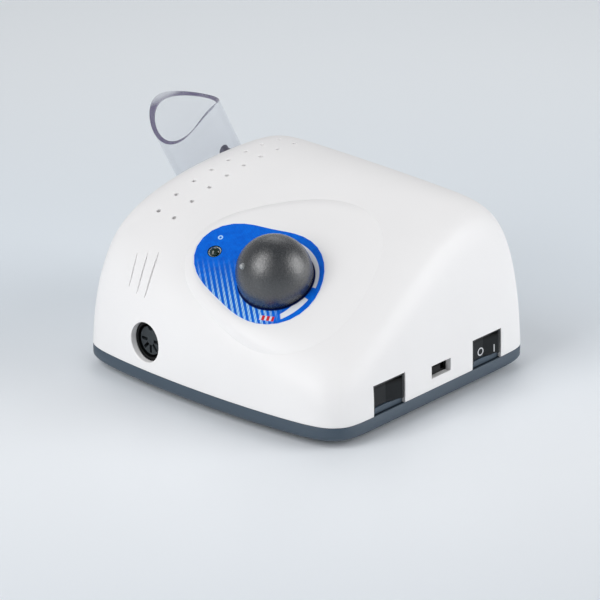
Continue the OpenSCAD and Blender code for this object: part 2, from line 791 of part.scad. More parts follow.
// Shallow hollow paddle, as a profile across the pivot, with its pin
rocker_skin = 2.6;
rocker_keel = 3;
module rocker_paddle() {
    mid = rocker_face - pivot_x;
    tip = mid + rocker_half_y * tan(rocker_tilt);
    half = [
        [tip, rocker_half_y], [tip - rocker_skin, rocker_half_y - seat_gap],
        [-rocker_keel / 3, rocker_half_y * 0.6], [-rocker_keel, rocker_keel / 2]
    ];
    translate([pivot_x, 0, 0]) {
        linear_extrude(2 * rocker_half_z, center = true)
            polygon(concat([[mid, 0]], half, [for (k = [3:-1:0]) [half[k].x, -half[k].y]]));
        cylinder(r = pivot_r, h = 2 * (frame_half_z - seat_gap), center = true, $fn = 32);
    }
}
module set_rocker(y) {
    on_right(y, rocker_z) children();
}
module pressed_front() {
    translate([pivot_x, 0, 0]) rotate([0, 0, -rocker_tilt]) translate([-pivot_x, 0, 0]) children();
}
module power_switch_body() { color("#26292b") set_rocker(power_y) rocker_body(); }
module direction_switch_body() { color("#26292b") set_rocker(direction_y) rocker_body(); }
module power_rocker() { color("#303438") set_rocker(power_y) pressed_front() rocker_paddle(); }
module direction_rocker() { color("#303438") set_rocker(direction_y) pressed_front() rocker_paddle(); }
module switch_terminals() {
    color("goldenrod")
        for (y = [direction_y, power_y])
            set_rocker(y)
                for (k = [-1, 0, 1])
                    translate([body_back - terminal_len / 2, k * terminal_pitch, 0])
                        cube([terminal_len, terminal_t, terminal_w], center = true);
}

// Slide switch for hand or foot control
slide_face = -wall - seat_gap;
slide_body_t = 5.5;
slide_rim = 2;
slot_z = 1.7;
slot_depth = 3;
button_y = 2.4;
button_z = slot_z - 0.3;
button_reach = 1.7;
slot_y = button_y + slide_travel / 2 + move_gap;
slide_tab = [4, 0.8, 2];
slide_tab_pitch = 4;
module mode_switch_body() {
    color("#26292b")
        on_right(slide_y, slide_z)
            difference() {
                union() {
                    block(slide_face - slide_body_t, slide_face,
                        -slide_w / 2 - slide_rim, slide_w / 2 + slide_rim,
                        -slide_h / 2 - 0.4 * slide_rim, slide_h / 2 + 0.4 * slide_rim);
                    for (k = [-1, 0, 1])
                        translate([slide_face - slide_body_t + eps, k * slide_tab_pitch, 0])
                            translate([-slide_tab.x / 2, 0, 0]) cube(slide_tab, center = true);
                }
                block(slide_face - slot_depth, root, -slot_y, slot_y, -slot_z, slot_z);
            }
}
module mode_slider() {
    color("#303438")
        on_right(slide_y, slide_z)
            translate([0, -slide_travel / 2, 0])
                block(slide_face - slot_depth + move_gap, slide_face + button_reach,
                    -button_y, button_y, -button_z, button_z);
}

// Five-pin round motor socket: five radial slots over the lower half and a key notch above
socket_r = motor_d / 2 - seat_gap;
socket_flange_r = motor_d / 2 + 1.5;
socket_flange_t = 2;
socket_boss_r = socket_flange_r + 1;
// Flat inside the front wall that the flange seats on, measured from the wall's outer face
socket_seat = wall + 2;
socket_front = 2.6;
socket_depth = 13;
insert_r = 5.6;
insert_sink = 0.5;
shroud_r = 6.6;
shroud_depth = 8;
contact_slot = [1.8, 5.1];
contact_slot_w = 1.3;
contact_slot_depth = 5;
contact_count = 5;
contact_step = 45;
contact_r = 0.7;
contact_len = 5;
key_r = 1.5;
// A bar along Y from one depth behind the front face to another
module bar_y(r, from, to) { translate([0, (from + to) / 2, 0]) along_y(r, to - from); }
module each_contact() {
    for (k = [0:contact_count - 1]) rotate([0, k * contact_step, 0]) children();
}
module socket_boss() {
    on_front(motor_x, motor_z) bar_y(socket_boss_r, 0.75 * wall, socket_seat);
}
// Y runs into the case from the outer face of the front wall
module motor_socket_body() {
    color("#1b1d1e")
        on_front(motor_x, motor_z)
            difference() {
                union() {
                    bar_y(socket_r, socket_front, socket_depth);
                    bar_y(socket_flange_r, socket_seat, socket_seat + socket_flange_t);
                }
                bar_y(shroud_r, 0, socket_front + shroud_depth);
            }
}
module motor_socket_insert() {
    face = socket_front + insert_sink;
    color("#3c4246")
        on_front(motor_x, motor_z)
            difference() {
                bar_y(insert_r, face, socket_front + shroud_depth);
                each_contact()
                    block(contact_slot[0], contact_slot[1], 0, face + contact_slot_depth,
                        -contact_slot_w / 2, contact_slot_w / 2);
                translate([0, 0, insert_r]) bar_y(key_r, 0, face + contact_slot_depth, $fn = 24);
            }
}
module motor_socket_contacts() {
    color("goldenrod")
        on_front(motor_x, motor_z)
            each_contact()
                translate([(contact_slot[0] + contact_slot[1]) / 2, 0, 0])
                    bar_y(contact_r, socket_depth, socket_depth + contact_len, $fn = 24);
}

// Clear tube for the handpiece, cut hollow across its mouth
module holder_tube() {
    rim = mouth_cut_r - sqrt(mouth_cut_r * mouth_cut_r - tube_r * tube_r);
    color("lavender", 0.5)
        difference() {
            on_tube() translate([0, 0, -tube_len]) cylinder(r = tube_r, h = tube_len + rim, $fn = 96);
            on_tube()
                translate([0, 0, -tube_len - root])
                    cylinder(r = tube_r - tube_wall, h = tube_len + tube_d, $fn = 96);
            on_tube()
                translate([0, 0, mouth_cut_r - rim / 2]) along_y(mouth_cut_r, 2 * tube_d, $fn = 96);
            holder_screw_holes();
            for (s = [upper_screw_s, lower_screw_s])
                at_screw(s) translate([tube_r - tube_wall, 0, 0]) {
                    holder_head(run_gap);
                    rotate([0, -90, 0]) cylinder(r = holder_head_r + run_gap, h = tube_wall, $fn = 32);
                }
        }
}
module holder_screws() {
    color("#2b2d30")
        for (s = [upper_screw_s, lower_screw_s])
            at_screw(s)
                translate([tube_r - tube_wall, 0, 0])
                    difference() {
                        union() {
                            holder_head(0);
                            rotate([0, 90, 0])
                                cylinder(d = holder_screw_d, h = holder_screw_len, $fn = 32);
                        }
                        translate([-root, 0, 0])
                            rotate([0, 90, 0])
                                cylinder(r = holder_key_r, h = root + holder_key_depth, $fn = 6);
                    }
}
// A bush on each screw fills the space between the round tube and the leaning wall
module holder_spacers() {
    spacer_r = 3;
    spacer_gap = 0.4;
    lower_gap = -tube_x - tube_r - left_x(screw_height(lower_screw_s));
    color("lavender")
        at_screw(lower_screw_s)
            translate([tube_r + spacer_gap, 0, 0])
                rotate([0, 90, 0])
                    difference() {
                        cylinder(r = spacer_r, h = lower_gap - 2.5 * spacer_gap, $fn = 32);
                        cylinder(d = holder_screw_d + 2 * run_gap, h = tube_d, center = true, $fn = 32);
                    }
}

// Two-pin mains inlet in the rear wall
inlet_w = 20;
inlet_h = 15;
inlet_lip = 2.5;
inlet_lip_t = 1.6;
inlet_depth = 16;
cavity_w = 14.4;
cavity_h = 8;
cavity_depth = 11;
pin_pitch = 8.6;
pin_r = 1.2;
pin_len = 9;
pin_tab = [4.8, 6, 0.8];
module mains_inlet() {
    half_x = inlet_w / 2;
    half_z = inlet_h / 2;
    round_x = (cavity_w - cavity_h) / 2;
    color("#1b1d1e")
        on_rear(inlet_x, inlet_z)
            difference() {
                union() {
                    block(-half_x, half_x, -inlet_depth, inlet_lip_t, -half_z, half_z);
                    block(-half_x - inlet_lip, half_x + inlet_lip, 1.5 * seat_gap, inlet_lip_t,
                        -half_z - inlet_lip, half_z + inlet_lip);
                }
                for (s = [-1, 1])
                    translate([s * round_x, 0, 0])
                        bar_y(cavity_h / 2, inlet_lip_t - cavity_depth, inlet_lip_t + root);
                block(-round_x, round_x, inlet_lip_t - cavity_depth, inlet_lip_t + root,
                    -cavity_h / 2, cavity_h / 2);
            }
}
module mains_pins() {
    color("silver")
        on_rear(inlet_x, inlet_z)
            for (s = [-1, 1])
                translate([s * pin_pitch / 2, 0, 0]) {
                    translate([0, inlet_lip_t - cavity_depth, 0]) bar_y(pin_r, 0, pin_len, $fn = 32);
                    translate([0, -inlet_depth - pin_tab.y / 2, 0]) cube(pin_tab, center = true);
                }
}
// Jack socket for the foot pedal, held by a round nut outside
pedal_neck_r = 4.6;
pedal_neck_len = 4;
pedal_body_r = 6;
pedal_depth = 20;
pedal_back = 18;
pedal_nut_r = 6.8;
pedal_nut_t = 2;
pedal_washer = 0.4;
module pedal_socket() {
    color("#1b1d1e")
        on_rear(pedal_x, pedal_z)
            difference() {
                union() {
                    translate([0, -wall - pedal_washer, 0]) bar_y(pedal_body_r, -pedal_depth, 0);
                    bar_y(pedal_neck_r, -pedal_neck_len, pedal_neck_len);
                }
                bar_y(pedal_bore / 2, -pedal_back, pedal_neck_len + root);
            }
}
module pedal_nut() {
    color("silver")
        on_rear(pedal_x, pedal_z)
            difference() {
                bar_y(pedal_nut_r, pedal_washer, pedal_washer + pedal_nut_t);
                along_y(pedal_neck_r + run_gap, cut_len);
            }
}

// Mains transformer: stacked core, coil on a bobbin and a strap with two ears
strap_t = 1;
core_z = floor_z + core_pad_h + strap_t;
core_leg = core_w / 6;
coil_gap = 0.5;
coil_w = core_w - 2 * core_leg - 2 * coil_gap;
coil_h = core_h - 2 * core_leg - 2 * coil_gap;
coil_build = 9;
coil_d = core_t + 2 * coil_build;
bobbin_t = 1.5;
bobbin_rim = 1;
module at_core() { translate([core_x, core_y, core_z]) children(); }
module transformer_core() {
    window = (core_w - 4 * core_leg) / 2;
    color("#6a6460")
        at_core()
            difference() {
                block(-core_w / 2, core_w / 2, -core_t / 2, core_t / 2, 0, core_h);
                for (s = [-1, 1])
                    translate([s * (core_leg + window / 2), 0, core_h / 2])
                        cube([window, core_t + root, core_h - 2 * core_leg], center = true);
            }
}
module transformer_coil() {
    color("#b5692c")
        at_core()
            difference() {
                union() {
                    translate([0, 0, core_h / 2])
                        cube([coil_w, coil_d, coil_h - bobbin_t], center = true);
                    for (s = [-1, 1])
                        translate([0, 0, core_h / 2 + s * (coil_h - bobbin_t) / 2])
                            cube([coil_w, coil_d + 2 * bobbin_rim, bobbin_t], center = true);
                }
                translate([0, 0, core_h / 2])
                    cube([2 * core_leg + 2 * seat_gap, core_t + 2 * seat_gap, core_h], center = true);
            }
}
module transformer_bracket() {
    w = core_w / 2 + seat_gap;
    half = core_t / 4;
    top = core_h + seat_gap + strap_t;
    ear = core_foot_x + 0.7 * core_ear;
    hole_r = small_screw_r + 2 * seat_gap;
    color("silver")
        at_core()
            difference() {
                union() {
                    block(-w - strap_t, w + strap_t, -half, half, top - strap_t, top);
                    for (s = [0, 1])
                        mirror([s, 0, 0]) {
                            block(w, w + strap_t, -half, half, -strap_t, top);
                            block(w, ear, -half, half, -strap_t, 0);
                        }
                }
                for (s = [-1, 1])
                    translate([s * core_foot_x, 0, 0])
                        cylinder(r = hole_r, h = 4 * strap_t, center = true, $fn = 32);
            }
}
module transformer_screws() {
    color("silver") each_core_foot() small_screw(core_z, core_z - floor_z + core_bite);
}
// Pan-head screw that hangs down from height z
small_head_r = 2.7;
small_head_h = 1.8;
module small_screw(z, len) {
    translate([0, 0, z]) cylinder(r = small_head_r, h = small_head_h, $fn = 32);
    translate([0, 0, z - len]) cylinder(r = small_screw_r, h = len + eps, $fn = 32);
}

// Circuit board with its power parts
board_top = board_z + board_t;
module at_board(x, y) { translate([board_x + x, board_y + y, board_top]) children(); }
module circuit_board() {
    color("darkgreen")
        difference() {
            translate([board_x - board_w / 2, board_y - board_l / 2, board_z])
                cube([board_w, board_l, board_t]);
            each_standoff()
                translate([0, 0, board_z - root])
                    cylinder(r = small_screw_r + 2 * seat_gap, h = board_t + 2 * root, $fn = 32);
        }
}
module board_screws() {
    color("silver") each_standoff() small_screw(board_top, board_t + 0.6 * standoff_h);
}
// Places on the board, measured from its edges
capacitor_inset = 11;
capacitor_bead = 0.7;
module filter_capacitor() {
    r = capacitor_d / 2;
    b = capacitor_bead;
    top = capacitor_h;
    color("#20304a")
        at_board(-board_w / 2 + capacitor_inset, 6)
            rotate_extrude()
                polygon([
                    [0, 0], [r, 0], [r, 3 * b], [r - b, 4 * b], [r, 5 * b], [r, top - b],
                    [r - b, top], [r - 3 * b, top], [r - 3.5 * b, top - b / 2], [0, top - b / 2]
                ]);
}
sink_l = 28;
sink_w = 14;
sink_plate = 3;
sink_inset = 11;
sink_y = -4;
fin_t = 2;
fin_count = 6;
module heat_sink() {
    step = (sink_l - fin_t) / (fin_count - 1);
    color("#303030")
        at_board(board_w / 2 - sink_inset, sink_y) {
            block(-sink_plate, 0, -sink_l / 2, sink_l / 2, 0, sink_h);
            for (k = [0:fin_count - 1])
                translate([-eps, -sink_l / 2 + k * step, 0]) cube([sink_w - sink_plate, fin_t, sink_h]);
        }
}
// A metal tab against the sink, a moulded block on it and three leads
tab_t = 1.3;
package_t = 4.5;
package_w = 10;
package_low = 6;
package_h = 9;
tab_h = 15;
lead_w = 0.8;
lead_pitch = 2.5;
module power_transistor() {
    half = package_w / 2;
    color("#1b1d1e")
        at_board(board_w / 2 - sink_inset - sink_plate, sink_y) {
            block(-tab_t, 0, -half, half, package_low, package_low + tab_h);
            block(-package_t, -tab_t, -half, half, package_low, package_low + package_h);
            for (k = [-1, 0, 1])
                translate([-package_t / 2 - lead_w / 2, k * lead_pitch, (package_low + lead_w) / 2])
                    cube([lead_w, lead_w, package_low + lead_w], center = true);
        }
}
rectifier = [20, 3.6, 14];
rectifier_low = 4;
rectifier_inset = [14, 11];
rectifier_lead = 0.9;
rectifier_pitch = 5;
module bridge_rectifier() {
    color("#1b1d1e")
        at_board(board_w / 2 - rectifier_inset.x, board_l / 2 - rectifier_inset.y) {
            translate([-rectifier.x / 2, -rectifier.y / 2, rectifier_low]) cube(rectifier);
            for (k = [-1.5:1:1.5])
                translate([k * rectifier_pitch - rectifier_lead / 2, -rectifier_lead / 2, 0])
                    cube([rectifier_lead, rectifier_lead, rectifier_low + rectifier_lead]);
        }
}
fuse_z = 6;
fuse_half = 10;
fuse_r = 2.6;
fuse_inset = [10, 14];
clip_w = 6.8;
clip_l = 4;
clip_t = 0.6;
module at_fuse() { at_board(-board_w / 2 + fuse_inset.x, -board_l / 2 + fuse_inset.y) children(); }
module fuse() {
    color("lightcyan")
        at_fuse() translate([0, 0, fuse_z]) along_y(fuse_r, 2 * fuse_half, $fn = 32);
}
// Each clip is a folded strip: open above the fuse, with a hollow foot
module fuse_clips() {
    slit = clip_w / 2 - 2.5 * clip_t;
    hollow = clip_w / 2 - clip_t;
    color("goldenrod")
        at_fuse()
            for (s = [-1, 1])
                translate([0, s * (fuse_half - 0.75 * clip_l), 0])
                    difference() {
                        block(-clip_w / 2, clip_w / 2, -clip_l / 2, clip_l / 2, 0, fuse_z + 2 * clip_t);
                        translate([0, 0, fuse_z]) along_y(fuse_r + run_gap, 2 * clip_l, $fn = 32);
                        block(-slit, slit, -clip_l, clip_l, fuse_z, fuse_z + clip_w);
                        block(-hollow, hollow, -clip_l, clip_l, clip_t, fuse_z - fuse_r - clip_t);
                    }
}

upper_shell();
base_tray();
rubber_feet();
case_screws();
panel_overlay();
pilot_lamp();
speed_knob();
potentiometer_shaft();
potentiometer_body();
potentiometer_nut();
potentiometer_terminals();
power_switch_body();
power_rocker();
direction_switch_body();
direction_rocker();
switch_terminals();
mode_switch_body();
mode_slider();
motor_socket_body();
motor_socket_insert();
motor_socket_contacts();
holder_tube();
holder_screws();
holder_spacers();
mains_inlet();
mains_pins();
pedal_socket();
pedal_nut();
transformer_core();
transformer_coil();
transformer_bracket();
transformer_screws();
circuit_board();
board_screws();
filter_capacitor();
heat_sink();
power_transistor();
bridge_rectifier();
fuse();
fuse_clips();
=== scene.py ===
"""Looks of the nail drill control box: dense surfaces over the CAD frame, procedural materials, studio."""
import json
import math

import bmesh
import bpy
import numpy as np
from mathutils import Matrix, Vector


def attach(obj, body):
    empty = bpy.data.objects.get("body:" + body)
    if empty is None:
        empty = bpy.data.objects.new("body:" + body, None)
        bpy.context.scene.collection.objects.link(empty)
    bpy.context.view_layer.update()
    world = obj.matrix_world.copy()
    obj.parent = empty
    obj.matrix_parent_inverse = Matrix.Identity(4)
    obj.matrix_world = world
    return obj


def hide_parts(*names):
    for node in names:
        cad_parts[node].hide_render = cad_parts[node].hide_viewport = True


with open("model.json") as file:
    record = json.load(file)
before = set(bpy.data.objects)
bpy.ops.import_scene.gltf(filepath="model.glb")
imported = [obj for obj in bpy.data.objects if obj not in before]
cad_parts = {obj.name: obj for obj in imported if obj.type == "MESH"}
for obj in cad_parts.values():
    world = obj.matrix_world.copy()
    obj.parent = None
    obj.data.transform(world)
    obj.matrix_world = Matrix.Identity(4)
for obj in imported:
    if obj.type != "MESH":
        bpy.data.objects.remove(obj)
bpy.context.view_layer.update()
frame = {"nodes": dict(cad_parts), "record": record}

MM = 0.001

# Sizes in millimetres and angles in radians: those of the CAD source, but for the tray's lower edge, the
# small edge rounds, the grooves, and the ball and nub of the knob
HALF_W, FRONT, BOW, REAR = 66.8, 58.3, 5.9, 57.2
ARCH_H, ARCH_P, TOP_H = 68.6, 2.7, 60.1
TOP_RISE, TOP_ROLL, LEFT_DRAFT, REAR_DRAFT = np.radians([13.8, 6.2, 7.0, 4.3])
RIGHT_CURVE = 0.0024
FACET, FACET_LEAN, FACET_TURN = 57.6, math.radians(55.7), math.radians(24.6)
EDGE_P, REAR_P, WALL = 13.7, 4.5, 2.4
TRAY_Z, SEAM, TRAY_ROUND, TRAY_DROP, SEAM_ROUND = 2.1, 8.5, 4.0, 2.8, 0.35
PAD_AZ, PAD_EL, PAD_SLOPE, PAD_TURN, PAD_RISE = *np.radians([-64.5, 44.4, 33.0, 22.0]), 0.6
KNOB_R, KNOB_MID, KNOB_GAP = 14.4, 4.2, 0.3
NUB_R, NUB_LEAN, NUB_TURN = 1.1, math.radians(46.6), math.radians(216)
OVERLAY_X, OVERLAY_Y, OVERLAY_T = -9.0, 2.0, 0.35
TUBE_R, TUBE_WALL, TUBE_LEN, TUBE_LEAN, TUBE_EDGE = 15.0, 1.8, 60.0, math.radians(30), 0.3
MOUTH_Y, MOUTH_Z, MOUTH_CUT = 14.7, 83.7, 17.6
MOUTH_RISE = MOUTH_CUT - math.sqrt(MOUTH_CUT ** 2 - TUBE_R ** 2)
TUBE_LOW = MOUTH_Z - SEAM - TUBE_LEN * math.cos(TUBE_LEAN) - TUBE_R * math.sin(TUBE_LEAN)
TUBE_X = -(HALF_W - math.tan(LEFT_DRAFT) * TUBE_LOW + 0.2 + TUBE_R)
ROCKER_Y, ROCKER_Z, ROCKER_TOP, ROCKER_HALF, SILL_H = (-30.0, 28.6), 6.95, 12.1, 9.0, 1.8
ROCKER_MARK_Z = 13.7
SLIDE_Y, SLIDE_Z, SLIDE_HALF_L, SLIDE_HALF_H = 0.3, 7.0, 5.75, 2.5
INLET_X, INLET_Z, INLET_HALF_W, INLET_HALF_H = 36.0, 20.0, 10.2, 7.7
JACK_X, JACK_Z, JACK_R = 8.0, 16.0, 4.8
MOTOR_X, MOTOR_Z, MOTOR_R = -26.7, 11.5, 7.9
LAMP_X, LAMP_Y, LAMP_R = -27.4, 8.9, 2.25
VENT_X, VENT_Y, VENT_PITCH, VENT_COUNT, VENT_R = (22.5 - HALF_W, 30.8 - HALF_W), -36.6, 9.9, 8, 0.9
GROOVE_Z = 44.5
GROOVES = ((-38.25, 6.0, 0.5), (-33.35, 7.2, 0.65), (-28.7, 7.6, 0.8))  # place in x, half length, depth

# Printed film, in pad millimetres
STRIPE_PITCH, STRIPE_SLANT, STRIPE_SHIFT = 2.16, 0.48, 29.24
MARK_X, MARK_Y, MARK_HALF_W, MARK_HALF_H, MARK_PITCH = 1.9, -18.2, 2.9, 1.2, 1.9
RING_X, RING_Y, RING_R = -27.2, 15.7, 0.75

# Camera: turn and rise in radians, distance and aim in millimetres, focal length and picture in pixels
VIEW_TURN, VIEW_RISE, VIEW_FAR = 0.725817, 0.3680555, 900.0
AIM_RIGHT, AIM_UP, FOCAL_PX, PICTURE_PX, SENSOR = -2.8577, 24.187, 2277.83, 600, 36.0


# Shape of the case

def toward(n, v, d):
    """One over the distance along n to a flat wall: max(n.v, 0) / d."""
    return np.maximum(n @ np.asarray(v), 0) / d


def toward_curve(x, z, d, c):
    """The same for a wall x = d - c z^2 that curves inwards: (x + sqrt(x^2 + 4 c d z^2)) / 2d."""
    return (x + np.sqrt(x * x + 4 * c * d * z * z)) / (2 * d)


def blend(parts, p):
    """Rounded meeting of walls: (sum of x^p)^(1/p)."""
    return sum(x ** p for x in parts) ** (1 / p)


def case_reach(n, s=0.0):
    """Distance from the middle of the parting plane to the case along unit rays n, inset by s."""
    right = toward_curve(n[..., 0], n[..., 2], HALF_W - s, RIGHT_CURVE)
    side = math.cos(LEFT_DRAFT)
    left = toward(n, (-side, 0, math.sin(LEFT_DRAFT)), HALF_W * side - s)
    rear = toward(n, (0, math.cos(REAR_DRAFT), math.sin(REAR_DRAFT)), REAR * math.cos(REAR_DRAFT) - s)
    off = np.minimum(1, np.abs(n[..., 0]) / np.maximum(np.abs(n[..., 1]), 1e-3) * FRONT / HALF_W)
    bow = FRONT + BOW * (1 - off ** 2) - s
    front = blend([np.maximum(-n[..., 1], 0) / bow, np.maximum(n[..., 2], 0) / (ARCH_H - s)], ARCH_P)
    roll = math.cos(TOP_ROLL)
    top = toward(n, (math.sin(TOP_ROLL), -math.sin(TOP_RISE) * roll, math.cos(TOP_RISE) * roll), TOP_H - s)
    lean = math.cos(FACET_LEAN)
    out = (lean * math.sin(FACET_TURN), -lean * math.cos(FACET_TURN), math.sin(FACET_LEAN))
    facet = toward(n, out, FACET - s)
    return 1 / blend([right, left, front, blend([rear, top], REAR_P), facet], EDGE_P)


def rays(az, el):
    """Unit rays from the middle of the parting plane: (cos el cos az, cos el sin az, sin el)."""
    return np.stack([np.cos(el) * np.cos(az), np.cos(el) * np.sin(az), np.sin(el) + 0 * az], -1)


def case_points(az, el, s=0.0):
    """Points of the case, (0, 0, SEAM) + ray * reach, in millimetres."""
    n = rays(az, el)
    return n * case_reach(n, s)[..., None] + [0, 0, SEAM]


def case_hit(p, d, near=-12.0, far=30.0):
    """Points where the lines p + t d enter the case, by halving the interval of t."""
    lo, hi = np.full(p.shape[:-1], near), np.full(p.shape[:-1], far)
    for _ in range(40):
        t = (lo + hi) / 2
        q = p + t[..., None] * d - [0, 0, SEAM]
        size = np.linalg.norm(q, axis=-1)
        inside = size < case_reach(q / size[..., None])
        lo, hi = np.where(inside, lo, t), np.where(inside, t, hi)
    return p + ((lo + hi) / 2)[..., None] * d


def case_normals(p):
    """Outward unit normals of the case at surface points p, from the slope of |q| / reach(q)."""
    def level(q):
        size = np.linalg.norm(q, axis=-1)
        return size / case_reach(q / size[..., None])
    q = p - [0, 0, SEAM]
    h = 0.05
    g = np.stack([level(q + h * v) - level(q - h * v) for v in np.eye(3)], -1)
    return g / np.linalg.norm(g, axis=-1, keepdims=True)


# Control pad frame: origin on the flat, E1 to the right, E2 up the slope, PAD_N out
PAD_N = np.array([math.sin(PAD_SLOPE) * math.sin(PAD_TURN), -math.sin(PAD_SLOPE) * math.cos(PAD_TURN),
                  math.cos(PAD_SLOPE)])
E1 = np.array([math.cos(PAD_TURN), math.sin(PAD_TURN), 0])
E2 = np.cross(PAD_N, E1)
PAD_O = case_points(np.array(PAD_AZ), np.array(PAD_EL)) + PAD_RISE * PAD_N


def on_pad(x, y, z):
    """Pad coordinates to the row frame: O + x E1 + y E2 + z N."""
    x, y, z = np.broadcast_arrays(x, y, z)
    return PAD_O + x[..., None] * E1 + y[..., None] * E2 + z[..., None] * PAD_N


NUB = on_pad(*(KNOB_R * math.sin(NUB_LEAN) * np.array([math.cos(NUB_TURN), math.sin(NUB_TURN)])),
             np.array(KNOB_MID + KNOB_R * math.cos(NUB_LEAN)))


def pad_edge(t):
    """Outline of the pad, a circle with three soft lobes: r = 36.8 + 2.9 cos 3(t - 55) + 1.8 cos(t - 50)."""
    r = 36.8 + 2.9 * np.cos(3 * (t - np.radians(55))) + 1.8 * np.cos(t - np.radians(50))
    return r * np.cos(t), 6 + r * np.sin(t)


def overlay_edge(t, grow=0.0):
    """Outline of the overlay, an egg: r = 23.6 + 2 cos(t - 30) + 4 cos 2(t + 26) + 1.3 cos 3(t - 39)
    - 0.5 cos 4(t - 3), in degrees; grow widens it."""
    r = (23.6 + grow + 2 * np.cos(t - np.radians(30)) + 4 * np.cos(2 * (t + np.radians(26)))
         + 1.3 * np.cos(3 * (t - np.radians(39))) - 0.5 * np.cos(4 * (t - np.radians(3))))
    return OVERLAY_X + r * np.cos(t), OVERLAY_Y + r * np.sin(t)


# Meshes

def new_object(name, mesh, body, material, stands_for=()):
    """Links a mesh as a piece that rides a body, with its material and the nodes it replaces."""
    o = bpy.data.objects.new(name, mesh)
    bpy.context.scene.collection.objects.link(o)
    mesh.materials.append(material)
    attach(o, body)
    if stands_for:
        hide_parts(*stands_for)
    return o


def sheet(points, wrap=False):
    """Vertices and quads of a grid of points[i, j]; with wrap the last row of i joins the first."""
    rows, cols = points.shape[:2]
    i = np.arange(rows if wrap else rows - 1)[:, None]
    j = np.arange(cols - 1)[None, :]
    k = (i + 1) % rows
    quads = np.stack([i * cols + j, k * cols + j, k * cols + j + 1, i * cols + j + 1], -1)
    return points.reshape(-1, 3), quads.reshape(-1, 4)


def mesh_of(name, parts, sharp=35.0, weld=1e-7):
    """One smooth mesh from several (vertices, quads) in millimetres, welded, with its sharp edges kept."""
    count, verts, faces = 0, [], []
    for v, q in parts:
        verts.append(v)
        faces.append(q + count)
        count += len(v)
    mesh = bpy.data.meshes.new(name)
    mesh.from_pydata((np.concatenate(verts) * MM).tolist(), [], np.concatenate(faces).tolist())
    bm = bmesh.new()
    bm.from_mesh(mesh)
    bmesh.ops.remove_doubles(bm, verts=bm.verts, dist=weld)
    bmesh.ops.recalc_face_normals(bm, faces=bm.faces)
    bm.to_mesh(mesh)
    bm.free()
    finish_mesh(mesh, sharp)
    return mesh


def finish_mesh(mesh, sharp):
    """Smooth shading with sharp edges over an angle in degrees."""
    mesh.polygons.foreach_set("use_smooth", np.ones(len(mesh.polygons), bool))
    mesh.set_sharp_from_angle(angle=math.radians(sharp))
    mesh.update()


def revolve(profile, frame_fn, steps=96):
    """Surface of revolution: (r cos t, r sin t, z) for the profile's (r, z), placed by frame_fn(x, y, z)."""
    t = np.linspace(0, 2 * np.pi, steps, endpoint=False)[:, None]
    r, z = np.asarray(profile, float).T
    return sheet(frame_fn(r * np.cos(t), r * np.sin(t), z + 0 * t), wrap=True)


def frame_at(origin, axis, side=(0.0, 0.0, 1.0)):
    """A placing function whose z runs along axis from origin, with x as close to side as it can be."""
    n = np.asarray(axis, float) / np.linalg.norm(axis)
    a = np.asarray(side, float) - np.dot(side, n) * n
    a = a / np.linalg.norm(a)
    b = np.cross(n, a)
    return lambda x, y, z: np.asarray(origin) + x[..., None] * a + y[..., None] * b + z[..., None] * n


def box_part(place, lo, hi):
    """A box between two corners, placed by place(x, y, z), as vertices and quads."""
    x, y, z = (axis.ravel() for axis in np.meshgrid(*np.transpose([lo, hi]).astype(float), indexing="ij"))
    quads = np.array([[0, 1, 3, 2], [4, 6, 7, 5], [0, 4, 5, 1], [2, 3, 7, 6], [0, 2, 6, 4], [1, 5, 7, 3]])
    return place(x, y, z), quads


def rod_part(sections):
    """A closed rod through sections[j, i], each a loop of points; both ends close on their own middles."""
    middle = sections.mean(1, keepdims=True) + 0 * sections
    rows = np.concatenate([middle[:1], sections, middle[-1:]])
    return sheet(np.swapaxes(rows, 0, 1), wrap=True)


def cut(obj, parts, sharp):
    """Takes the parts away from obj, all of them closed meshes, then marks the new edges sharp."""
    tool = bpy.data.objects.new("cutter", mesh_of("cutter", parts))
    bpy.context.scene.collection.objects.link(tool)
    m = obj.modifiers.new("cut", "BOOLEAN")
    m.object, m.operation, m.solver = tool, "DIFFERENCE", "MANIFOLD"
    bpy.context.view_layer.update()
    made = bpy.data.meshes.new_from_object(obj.evaluated_get(bpy.context.evaluated_depsgraph_get()))
    obj.modifiers.clear()
    old = obj.data
    obj.data = made
    made.name = old.name.split(".")[0]
    bpy.data.meshes.remove(old)
    bpy.data.objects.remove(tool)
    finish_mesh(made, sharp)


# Shader graphs

